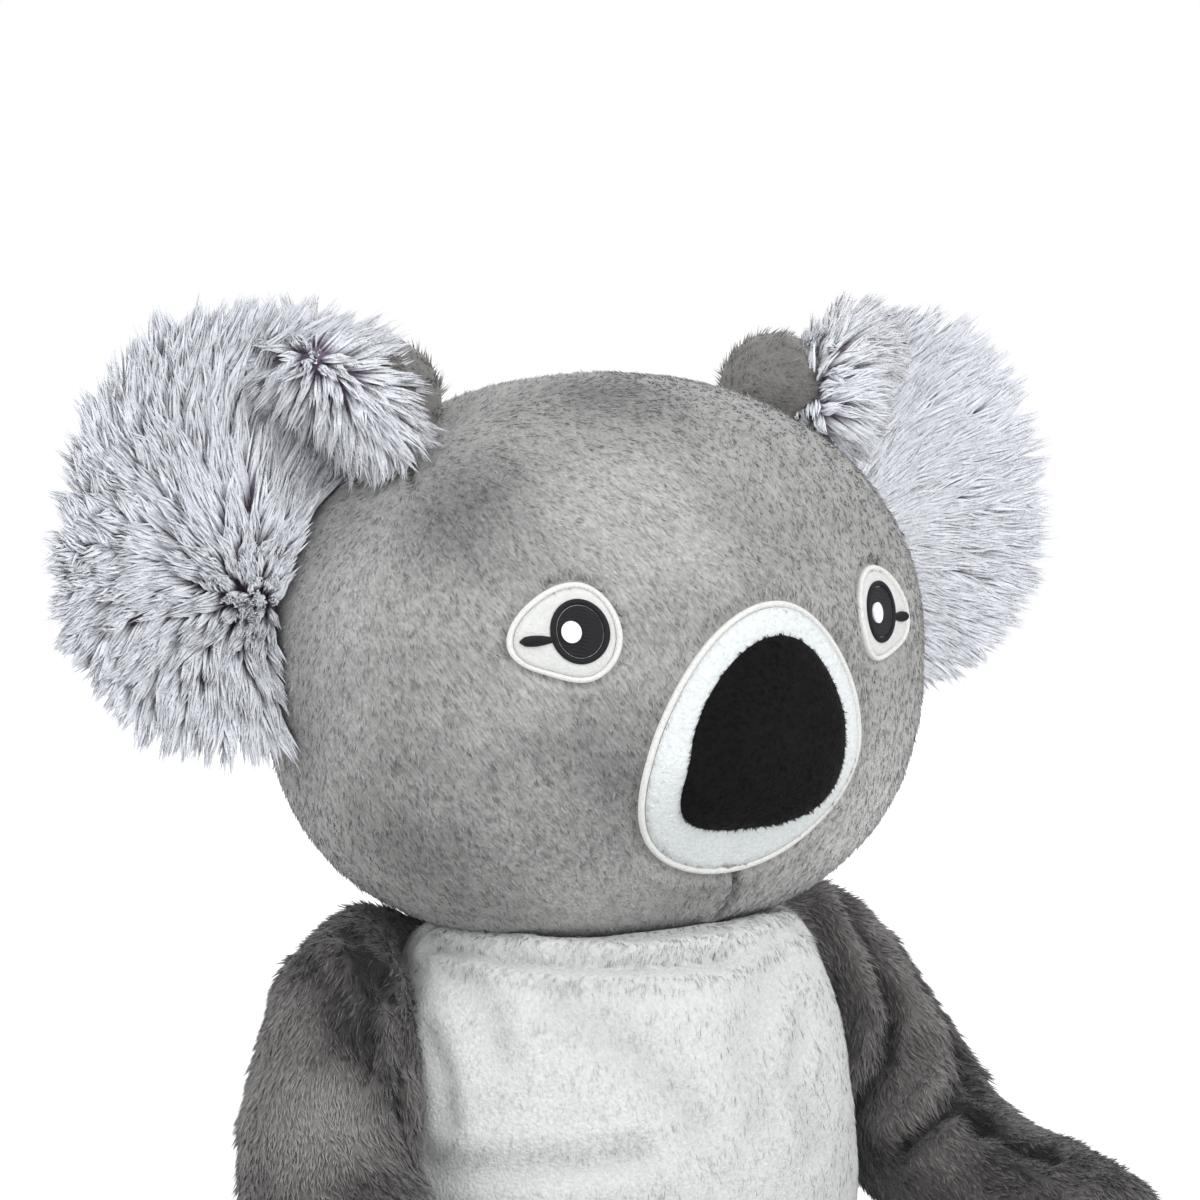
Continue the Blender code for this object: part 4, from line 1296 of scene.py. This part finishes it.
def ear_roll(word, side, look, sizes):
    """The furry roll along the ear's inner top. Its fur parts along its crest, in a whorl on
    the right ear and all one way on the left."""
    dice = np.random.default_rng(sizes.seed + 15)
    line = np.array(EAR_ROLL)
    centres = ear_world(1, line[:, :3])
    rows = [(*centre, size, size) for centre, size in zip(centres, line[:, 3])]
    mesh = limb_mesh(rows, 0.006, 1, 0.0012)
    count = int(6400 * sizes.pile_share)
    crest = centres + np.array((0.10, -0.75, 0.65)) * line[:, 3:]

    def growth(spots):
        near_crest = hump(distances(spots, crest).min(axis=1), 0.008)
        return (gauge(HEAD, spots - HEAD_CENTRE) > 1.02) * (1 + 2.5 * near_crest)

    spots, out = roots(mesh, count, dice, growth)
    near = np.argmin(distances(spots, crest), axis=1)
    run = unit(np.gradient(crest, axis=0))[near]
    off = unit(square_to(run, spots - crest[near]))
    whorl = crest[ROLL_CROWN] * 0.6 + crest[ROLL_CROWN - 1] * 0.4
    reach = np.linalg.norm(spots - whorl, axis=1)
    away = unit(spots - whorl) + off * 0.25 + 0.22 * dice.normal(size=(count, 3))
    away[:, 2] -= 0.10 + 0.55 * ease((reach - 0.008) / 0.014)
    if side > 0:
        away = (0.80, -0.25, -0.38) + 0.2 * off + 0.14 * dice.normal(size=(count, 3))
        reach = np.full(count, 0.02)
    away = unit(square_to(out, away))
    lean = 0.50 + 0.68 * ease(reach / 0.014)
    way = out * np.cos(lean)[:, None] + away * np.sin(lean)[:, None]
    way = unit(way + 0.10 * dice.normal(size=(count, 3)))
    long = sizes.ear_fur * (0.42 + 0.26 * ease(reach / 0.014))
    fur = tuft_needles(f"{word}_ear_roll_fur", side, spots, out, way, long, 13, look, dice)
    settle(fur, "head", slot="two_tone_fur")
    core = reshape(mesh, positions(mesh) * (side, 1, 1))
    if side < 0:
        core.flip_normals()
    settle(show(f"{word}_ear_roll", core, look), "head", slot="two_tone_fur", fill=0.7)


def sew_ear(word, side, sizes):
    plush, fur = look_of("ear back plush"), look_of("ear fur")
    mesh = ear_back_mesh(side)
    back = show(f"{word}_ear_plush", mesh, plush)
    settle(back, "head", (f"{word}_ear_back",), "grey_plush", 0.4)

    def comb(spots, out):
        return np.tile((side, 0, 0.3), (len(spots), 1))

    def outside(spots):
        return gauge(HEAD, spots - HEAD_CENTRE) > 1

    growth = (7000, sizes.seed + 3, 0.0045, 0.0006, comb, 0.5, outside)
    pile = coat(f"{word}_ear_plush_pile", mesh, plush, *growth)
    settle(pile, "head", slot="grey_plush")
    pad = show(f"{word}_ear_pad", ear_shell(side, 0.0026, 0.0002), fur)
    settle(pad, "head", (f"{word}_ear_fur",), "two_tone_fur", 0.4)
    for part in (1, 2):
        strands = long_fur(f"{word}_ear_long_fur_{part}", side, sizes.seed + 10 + part, fur, sizes)
        settle(strands, "head", slot="two_tone_fur")
    ear_roll(word, side, fur, sizes)


class KOALA_OT_ears(Sewing, bpy.types.Operator):
    """Sews the ears' plush backs and grows the long fur"""

    bl_idname = "koala.ears"
    bl_label = "Ears"

    def sew(self, sizes):
        for word, side in SIDES:
            sew_ear(word, side, sizes)


# Torso

# Where the side seams meet the seat, and how far back they run for their height
SEAM_FOOT = -0.045
SEAM_LEAN = 0.32
# The collar is sewn to the head, so the top of the torso twists with it
COLLAR = ("head", (0, 0, 0.192), (0, 0, 0.216))
# Folds: pixels of the photograph, width and height, which is below zero for a crease
TORSO_FOLDS = (
    (((432, 946), (500, 957), (560, 964), (640, 966), (720, 960), (800, 925)), 0.0028, -0.0040),
    (((430, 929), (540, 948), (640, 952), (720, 942), (805, 900)), 0.0034, 0.0026),
    (((560, 1010), (640, 1060), (700, 1130)), 0.007, -0.0012),
    (((770, 960), (745, 1040), (760, 1120)), 0.008, -0.0014),
    (((455, 965), (490, 1010), (500, 1060)), 0.005, -0.0012),
    (((430, 1035), (446, 1075), (450, 1120)), 0.0036, -0.0013),
    (((430, 1168), (520, 1172), (640, 1160)), 0.005, -0.0016),
    (((800, 1010), (790, 1080), (815, 1150)), 0.005, -0.0014),
)
# Spots of painted shade on the belly, under the head and beside the arm: pixel, size and amount
BELLY_PAINTED_SHADE = ((440, 955, 0.014, -0.24), (600, 985, 0.030, -0.10), (438, 1130, 0.012, -0.22))


def neck_level(spots):
    """Height of the head's underside over each spot, nearly that of the head at rest."""
    flat = spots * (1, 1, 0)
    levels = []
    for egg in (HEAD, TURNING_HEAD):
        away = np.minimum(gauge(egg, flat - (0, 0, 1e-9)), 1)
        levels.append(HEAD_CENTRE[2] - egg.down * (1 - away**egg.lower) ** (1 / egg.lower))
    return 0.85 * levels[0] + 0.15 * levels[1]


def seen_folds(tree, folds):
    """The same folds with the places of their pixels on a form."""
    return [(seen(tree, pixels), width, height) for pixels, width, height in folds]


def torso_mesh():
    mesh = egg_mesh(TORSO, TORSO_CENTRE)
    spots = positions(grounded(mesh))
    spots[:, 2] = np.minimum(spots[:, 2], neck_level(spots) - 0.0016)
    reshape(mesh, spots)
    shape = bmesh.new()
    shape.from_mesh(mesh)
    rim = [
        vert
        for vert, low in zip(shape.verts, neck_level(spots) - spots[:, 2])
        if low < 0.012 and math.hypot(vert.co.x, vert.co.y) > 0.045
    ]
    for _ in range(14):
        bmesh.ops.smooth_vert(
            shape, verts=rim, factor=0.5, use_axis_x=True, use_axis_y=True, use_axis_z=True
        )
    shape.to_mesh(mesh)
    shape.free()
    folded(mesh, seen_folds(tree_of(mesh), TORSO_FOLDS))
    spots, out = positions(mesh), outward(mesh)
    soft = 0.0012 * grain(spots, 0.035, 5) + 0.0006 * grain(spots, 0.014, 6)
    soft = soft * ease((spots[:, 2] - 0.004) / 0.02)
    return grounded(reshape(mesh, spots + out * soft[:, None]))


def torso_half(name, whole, ahead):
    """The torso's part before or behind the side seams, closed along them."""
    shape = bmesh.new()
    shape.from_mesh(whole)
    bmesh.ops.bisect_plane(
        shape,
        geom=shape.verts[:] + shape.edges[:] + shape.faces[:],
        plane_co=(0, SEAM_FOOT, 0),
        plane_no=Vector((0, 1, -SEAM_LEAN)).normalized(),
        clear_outer=ahead,
        clear_inner=not ahead,
    )
    rim = [edge for edge in shape.edges if edge.is_boundary]
    bmesh.ops.holes_fill(shape, edges=rim, sides=0)
    bmesh.ops.recalc_face_normals(shape, faces=shape.faces)
    return mesh_from(shape, name)


def seam_depth(spots):
    """How far spots lie behind the side seams, which lean forward from neck to seat."""
    return spots[:, 1] - SEAM_FOOT - SEAM_LEAN * spots[:, 2]


def showing(spots):
    """Plush grows on what shows: neither on the seat nor far beneath the head."""
    hidden = np.hypot(spots[:, 0], spots[:, 1]) < 0.050
    return (spots[:, 2] > 0.001) & ~(hidden & (neck_level(spots) - spots[:, 2] < 0.006))


def on_back(spots):
    return showing(spots) & (seam_depth(spots) > 0.0005)


def on_belly(spots):
    return showing(spots) & (seam_depth(spots) < 0)


def down_comb(spots, out):
    """The nap runs down the torso, and over its rim from under the head."""
    swirl = grain(spots, 0.03, 8)
    rim = 0.8 * ease(1.4 * out[:, 2])
    away = unit(spots * (1, 1, 0) + (1e-6, 0, 0))
    return np.stack([away[:, 0] * rim + 0.4 * swirl, away[:, 1] * rim, -1 + 0 * swirl], axis=-1)


class KOALA_OT_torso(Sewing, bpy.types.Operator):
    """Sews the grey back to the pale belly panel"""

    bl_idname = "koala.torso"
    bl_label = "Torso"

    def sew(self, sizes):
        grey, pale = look_of("body plush"), look_of("belly plush")
        whole = torso_mesh()
        tree = tree_of(whole)
        # Painted light on the folds' ridges and painted shade in their creases, with spots of painted shade, make the
        # nap's tone
        crease_and_ridge_shading = paint_fold_light_and_shade(seen_folds(tree, TORSO_FOLDS), 0.05, 0.16)
        painted_spots = paint_light_and_shade_spots(tree, BELLY_PAINTED_SHADE)

        def nap(spots):
            return crease_and_ridge_shading(spots) + painted_spots(spots)

        inside = ("body_back_skin", "body_stuffing", "seat_pellet_bag")
        for name, look, nodes, slot, ahead in (
            ("back", grey, inside, "grey_plush", False),
            ("belly", pale, ("belly_panel",), "pale_plush", True),
        ):
            mesh = torso_half(name, whole, ahead)
            store_tone_and_painted_light(mesh, nap)
            settle(show(name, mesh, look), "torso", nodes, slot, 0.8, COLLAR)
        growth = (26000, sizes.seed + 4, sizes.body_pile, 0.00100, down_comb, 0.38, on_back)
        pile = coat("back_pile", whole, grey, *growth, every=6)
        settle(pile, "torso", slot="grey_plush", to=COLLAR)
        growth = (21000, sizes.seed + 5, sizes.belly_pile, 0.00065, down_comb, 0.13, on_belly)
        even = {"shade": nap, "soft": 0.98, "variety": 0.12}
        pile = coat("belly_pile", whole, pale, *growth, every=4, pull=0.30, **even)
        settle(pile, "torso", slot="pale_plush", to=COLLAR)


# Arms and legs

# Rows of a limb: x, y, z of its middle, then its half sizes across and along the height
ARM_ROWS = (
    (0.0600, 0.0140, 0.1670, 0.0190, 0.0260),
    (0.0780, 0.0140, 0.1690, 0.0190, 0.0275),
    (0.0900, 0.0120, 0.1685, 0.0215, 0.0285),
    (0.1010, 0.0085, 0.1620, 0.0262, 0.0305),
    (0.1105, 0.0025, 0.1480, 0.0285, 0.0305),
    (0.1180, -0.0050, 0.1300, 0.0296, 0.0300),
    (0.1225, -0.0181, 0.1123, 0.0298, 0.0300),
    (0.1270, -0.0380, 0.0970, 0.0294, 0.0284),
    (0.1320, -0.0620, 0.0875, 0.0284, 0.0266),
    (0.1370, -0.0850, 0.0830, 0.0289, 0.0264),
    (0.1355, -0.1070, 0.0822, 0.0255, 0.0240),
)
# The right shoulder sits higher, and lies further inward and back: by how much its first rows
# are moved, and how much narrower they are
RAISED = np.array((0.000, 0.0030, 0.0078, 0.0105, 0.0070, 0.0020))
INWARD = (0.000, 0.0010, 0.0030, 0.0055, 0.0055, 0.0025)
BACKWARD = (0.009, 0.0105, 0.0085, 0.0050, 0.0015, 0.0000)
THINNED = (0.006, 0.0060, 0.0045, 0.0020, 0.0005, 0.0000)
LEG_ROWS = (
    (0.050, -0.040, 0.0335, 0.0335, 0.0335),
    (0.050, -0.059, 0.0335, 0.0345, 0.0340),
    (0.0522, -0.0780, 0.0335, 0.0345, 0.0340),
    (0.0548, -0.0940, 0.0338, 0.0348, 0.0345),
    (0.0584, -0.1112, 0.0356, 0.0350, 0.0372),
    (0.0619, -0.1297, 0.0393, 0.0350, 0.0408),
    (0.0640, -0.1432, 0.0372, 0.0318, 0.0385),
)
# How far a limb's round tip reaches past its last row, and the thickness of its strands
LIMB_TIP = 0.027
LIMB_STRAND = 0.00096
# Where the limbs' cloth leaves the torso, and where it is all on the limb
ARM_JOINT = ((0.078, 0, 0.168), (0.108, 0, 0.168))
LEG_JOINT = ((0.050, -0.066, 0.0335), (0.050, -0.092, 0.0335))
# Folds of the arms, like those of the torso, and spots of painted light and shade on the arms: pixel, size and amount
ARM_FOLDS = {
    "left": (
        (((822, 905), (850, 950), (868, 1010), (866, 1060), (842, 1098)), 0.0050, 0.0042),
        (((838, 905), (868, 955), (890, 1010), (884, 1060), (850, 1112)), 0.0034, -0.0042),
        (((880, 962), (918, 1008), (936, 1050), (930, 1090), (888, 1130)), 0.0050, 0.0042),
        (((898, 950), (948, 1010), (966, 1062), (950, 1110), (900, 1150)), 0.0034, -0.0040),
        (((950, 1045), (972, 1085), (980, 1130)), 0.004, -0.0030),
        (((972, 1118), (1010, 1142), (1050, 1160)), 0.004, -0.0034),
    ),
    "right": (
        (((385, 980), (400, 1040), (398, 1100), (412, 1160)), 0.0040, -0.0034),
        (((350, 935), (372, 1000), (370, 1060)), 0.0045, -0.0026),
        (((300, 960), (330, 990), (345, 1040)), 0.005, -0.0022),
        (((390, 1010), (402, 1060), (410, 1120)), 0.0040, 0.0022),
    ),
}
ARM_PAINTED_LIGHT_AND_SHADE = {
    "right": (
        (262, 1110, 0.022, 0.56), (330, 1125, 0.016, 0.56), (285, 1010, 0.018, 0.34),
        (365, 955, 0.014, -0.34), (352, 905, 0.016, -0.34), (392, 1085, 0.008, -0.26),
        (375, 1182, 0.014, -0.28),
    ),
    "left": (
        (868, 925, 0.006, 0.34), (905, 960, 0.006, 0.34), (940, 1000, 0.006, 0.34),
        (975, 1055, 0.006, 0.34), (1020, 1105, 0.007, 0.28), (824, 1000, 0.006, -0.36),
        (830, 1060, 0.006, -0.34), (882, 1030, 0.006, -0.28), (960, 1100, 0.008, -0.30),
        (1010, 1160, 0.012, -0.22), (880, 1150, 0.010, -0.25), (1100, 1170, 0.016, -0.22),
        (855, 1000, 0.022, -0.20), (1050, 1165, 0.022, -0.22),
    ),
}


def arm_rows(side):
    rows = np.array(ARM_ROWS)
    if side < 0:
        first = rows[: len(RAISED)]
        first[:, 0] -= INWARD
        first[:, 1] += BACKWARD
        first[:, 2] += RAISED * 0.55
        first[:, 3] -= THINNED
        first[:, 4] += RAISED * 0.35
    return rows


def limb_mesh(rows, tip, side, voxel=0.0021):
    """A tube through rows of ovals, round at its tip and closed at its root."""
    rows = np.array(rows)
    last = rows[-1]
    ahead = unit(rows[-1, :3] - rows[-2, :3])
    caps = []
    for share in (0.35, 0.62, 0.82, 0.94, 0.99):
        shrink = math.sqrt(1 - share * share)
        caps.append(np.concatenate([last[:3] + ahead * tip * share, last[3:] * shrink]))
    caps.append(np.concatenate([last[:3] + ahead * tip, (0, 0)]))
    root = [np.concatenate([rows[0, :3], (0, 0)])]
    rows = np.vstack([root, rows, caps])
    centres = rows[:, :3]
    ups, sides = [], []
    up = np.array((0.0, 0.0, 1.0))
    for i in range(len(rows)):
        low, high = max(i - 1, 1), min(i + 1, len(rows) - 1)
        ahead = unit(centres[high] - centres[low])
        up = unit(up - ahead * (up @ ahead))
        ups.append(up)
        sides.append(np.cross(ahead, up))
    ups, sides = np.array(ups), np.array(sides)
    steps = np.linspace(0, 1, len(rows))

    def at(values, v):
        return np.stack([np.interp(v, steps, column) for column in values.T], axis=-1)

    def place(u, v):
        middle, size = at(centres, v), at(rows[:, 3:], v)
        turn = 2 * math.pi * u
        spots = middle + at(sides, v) * (size[:, 0] * np.cos(turn))[:, None]
        spots = spots + at(ups, v) * (size[:, 1] * np.sin(turn))[:, None]
        return spots * (side, 1, 1)

    mesh = wrapped(48, (len(rows) - 1) * 5, place)
    return remeshed(mesh, voxel, 12)


def limb_comb(rows, side):
    centres = np.array(rows)[:, :3] * (side, 1, 1)

    def comb(spots, out):
        """The nap runs along the limb towards its tip."""
        near = np.argmin(distances(spots, centres), axis=1)
        runs = unit(np.gradient(centres, axis=0))
        swirl = grain(spots, 0.022, 4)[:, None]
        across = np.cross(out, runs[near])
        return runs[near] + 0.7 * swirl * across + (0, 0, -0.25)

    return comb


def sew_limb(name, side, mesh, joint, growth, **more):
    """Shows a limb and grows its pile, both blended from the torso at its joint."""
    look = look_of("body plush")
    skin = show(name, mesh, look)
    pile = coat(f"{name}_pile", mesh, look, *growth, every=6, **more)
    to = (name, *((side * x, y, z) for x, y, z in joint))
    settle(skin, "torso", (f"{name}_skin", f"{name}_stuffing"), "dark_grey_plush", 0.8, to)
    settle(pile, "torso", slot="dark_grey_plush", to=to)


def sew_arm(word, side, sizes):
    mesh = limb_mesh(arm_rows(side), LIMB_TIP, side)
    tree = tree_of(mesh)
    folds = seen_folds(tree, ARM_FOLDS[word])
    folded(mesh, folds)
    # The nap's tone: painted light on the folds' ridges, painted shade in their creases, spots of painted light and
    # shade, and random unevenness
    crease_and_ridge_shading, painted_spots = paint_fold_light_and_shade(folds, 0.40, 0.42), paint_light_and_shade_spots(tree, ARM_PAINTED_LIGHT_AND_SHADE[word])

    def nap(spots):
        return crease_and_ridge_shading(spots) + painted_spots(spots) + 0.14 * grain(spots, 0.016, 14)

    def outside(spots):
        return gauge(TORSO, spots - TORSO_CENTRE) > 0.97

    uneven(mesh, (0.0014, 0.022, 9), (0.0008, 0.010, 10))
    store_tone_and_painted_light(mesh, nap)
    comb = limb_comb(ARM_ROWS, side)
    growth = (30000, sizes.seed + 6, sizes.body_pile, LIMB_STRAND, comb, 0.36, outside)
    sew_limb(f"{word}_arm", side, mesh, ARM_JOINT, growth, shade=nap, variety=0.75)


def sew_leg(word, side, sizes):
    mesh = limb_mesh(LEG_ROWS, LIMB_TIP, side)
    grounded(uneven(mesh, (0.0014, 0.022, 9), (0.0006, 0.010, 10)))

    def outside(spots):
        return (spots[:, 2] > 0.0012) & (gauge(TORSO, spots - TORSO_CENTRE) > 0.98)

    comb = limb_comb(LEG_ROWS, side)
    growth = (14000, sizes.seed + 7, sizes.body_pile, LIMB_STRAND, comb, 0.40, outside)
    sew_limb(f"{word}_leg", side, mesh, LEG_JOINT, growth)


class KOALA_OT_arms(Sewing, bpy.types.Operator):
    """Sews the arms and grows their darker plush"""

    bl_idname = "koala.arms"
    bl_label = "Arms"

    def sew(self, sizes):
        for word, side in SIDES:
            sew_arm(word, side, sizes)


class KOALA_OT_legs(Sewing, bpy.types.Operator):
    """Sews the legs and grows their darker plush"""

    bl_idname = "koala.legs"
    bl_label = "Legs"

    def sew(self, sizes):
        for word, side in SIDES:
            sew_leg(word, side, sizes)


def round_claw(source, name, body, look):
    """A CAD claw with its facets merged and rounded."""
    shape = bmesh.new()
    shape.from_mesh(frame["nodes"][source].data)
    bmesh.ops.remove_doubles(shape, verts=shape.verts, dist=1e-5)
    bmesh.ops.dissolve_limit(shape, angle_limit=0.02, verts=shape.verts, edges=shape.edges)
    claw = show(name, mesh_from(shape, source), look)
    soft = claw.modifiers.new("soft", "SUBSURF")
    soft.levels = soft.render_levels = 2
    settle(claw, body, (source,), "black_claw")


class KOALA_OT_claws(Sewing, bpy.types.Operator):
    """Rounds the black claws of the hands and feet"""

    bl_idname = "koala.claws"
    bl_label = "Claws"

    def sew(self, sizes):
        look = look_of("claw cloth")
        for word, _ in SIDES:
            for end, limb in (("hand", "arm"), ("foot", "leg")):
                for k in (1, 2, 3):
                    names = (f"{word}_{end}_claw_{k}", f"{word}_{end}_nail_{k}")
                    round_claw(*names, f"{word}_{limb}", look)


# Stage


def sun(name, source, strength, angle):
    """Soft light from far away, the same all over the floor."""
    light = bpy.data.lights.new(name, "SUN")
    light.energy = strength
    light.angle = math.radians(angle)
    obj = bpy.data.objects.new(name, light)
    obj.location = source
    obj.rotation_euler = Vector(source).to_track_quat("Z", "Y").to_euler()
    bpy.context.scene.collection.objects.link(obj)


class KOALA_OT_stage(bpy.types.Operator):
    """Sets the floor, the soft light and the camera"""

    bl_idname = "koala.stage"
    bl_label = "Stage"

    def execute(self, context):
        self.lay_floor(tuple(context.scene.koala_colours.floor))
        self.light(context)
        self.place_camera(context)
        context.scene.view_settings.view_transform = "Standard"
        return {"FINISHED"}

    def lay_floor(self, colour):
        shape = bmesh.new()
        bmesh.ops.create_circle(shape, cap_ends=True, radius=3, segments=96)
        look, tree = new_look("pale floor")
        shader = tree.nodes["Principled BSDF"]
        shader.inputs["Roughness"].default_value = 0.9
        shader.inputs["Specular IOR Level"].default_value = 0.1
        tone = toned(tree, colour, noise_of(tree, 8, 3), 0.995, 1)
        glow = node(tree, "ShaderNodeEmission", {"Strength": 0.22})
        path = node(tree, "ShaderNodeLightPath")
        gate = node(tree, "ShaderNodeMixShader")
        total = node(tree, "ShaderNodeAddShader")
        wire(
            tree,
            (tone, shader.inputs["Base Color"]),
            (shader.outputs[0], total.inputs[0]),
            (glow.outputs[0], total.inputs[1]),
            (path.outputs["Is Camera Ray"], gate.inputs[0]),
            (shader.outputs[0], gate.inputs[1]),
            (total.outputs[0], gate.inputs[2]),
            (gate.outputs[0], tree.nodes["Material Output"].inputs[0]),
        )
        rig.stage(show("floor", mesh_from(shape, "floor"), look))

    def light(self, context):
        world = bpy.data.worlds.new("studio")
        context.scene.world = world
        world.use_nodes = True
        tree = world.node_tree
        base = tree.nodes["Background"]
        base.inputs["Color"].default_value = (1, 1, 1, 1)
        base.inputs["Strength"].default_value = 0.60
        white = node(tree, "ShaderNodeBackground", {"Color": (1, 1, 1, 1), "Strength": 1})
        path = node(tree, "ShaderNodeLightPath")
        both = node(tree, "ShaderNodeMath", operation="MAXIMUM")
        gate = node(tree, "ShaderNodeMixShader")
        wire(
            tree,
            (path.outputs["Is Camera Ray"], both.inputs[0]),
            (path.outputs["Is Glossy Ray"], both.inputs[1]),
            (both.outputs[0], gate.inputs[0]),
            (base.outputs[0], gate.inputs[1]),
            (white.outputs[0], gate.inputs[2]),
            (gate.outputs[0], tree.nodes["World Output"].inputs[0]),
        )
        right, up, back = camera_axes()
        sun("key", back * 0.75 + right * 0.75 + up * 0.55, 1.45, 45)
        sun("fill", back * 0.70 - right * 0.80 + up * 0.55, 1.10, 55)
        sun("rim", -back * 0.8 + up * 0.7, 0.45, 50)
        sun("low", back - up * 0.12, 0.32, 70)

    def place_camera(self, context):
        camera = bpy.data.cameras.new("camera")
        camera.sensor_width = 36
        camera.lens = 36 * VIEW_DISTANCE / (2 * MIDDLE_PIXEL * METRES_PER_PIXEL)
        obj = bpy.data.objects.new("camera", camera)
        back = camera_axes()[2]
        obj.location = camera_place()
        obj.rotation_euler = Vector(-back).to_track_quat("-Z", "Y").to_euler()
        context.scene.collection.objects.link(obj)
        context.scene.camera = obj


class KOALA_PT_sidebar(bpy.types.Panel):
    """Lists the koala's pieces in the sidebar"""

    bl_idname = "KOALA_PT_sidebar"
    bl_label = "Plush koala"
    bl_space_type = "VIEW_3D"
    bl_region_type = "UI"
    bl_category = "Koala"

    def draw(self, context):
        for group in (context.scene.koala_sizes, context.scene.koala_colours):
            for name in group.__annotations__:
                self.layout.prop(group, name)
        for step in STEPS:
            self.layout.operator(step.bl_idname)


STEPS = (
    KOALA_OT_stage,
    KOALA_OT_head,
    KOALA_OT_muzzle,
    KOALA_OT_eyes,
    KOALA_OT_ears,
    KOALA_OT_torso,
    KOALA_OT_arms,
    KOALA_OT_legs,
    KOALA_OT_claws,
)
CLASSES = (KoalaSizes, KoalaColours, *STEPS, KOALA_PT_sidebar)


def register():
    for made in CLASSES:
        bpy.utils.register_class(made)
    bpy.types.Scene.koala_sizes = PointerProperty(type=KoalaSizes)
    bpy.types.Scene.koala_colours = PointerProperty(type=KoalaColours)


def unregister():
    del bpy.types.Scene.koala_colours
    del bpy.types.Scene.koala_sizes
    for made in reversed(CLASSES):
        bpy.utils.unregister_class(made)


def main():
    register()
    for step in STEPS:
        group, name = step.bl_idname.split(".")
        getattr(getattr(bpy.ops, group), name)()
    sizes = {"cad": [list(corner) for corner in CAD_BOX], "visual": [list(c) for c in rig.bounds()]}
    with open("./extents.json", "w") as out:
        json.dump(sizes, out)


if __name__ == "__main__":
    main()
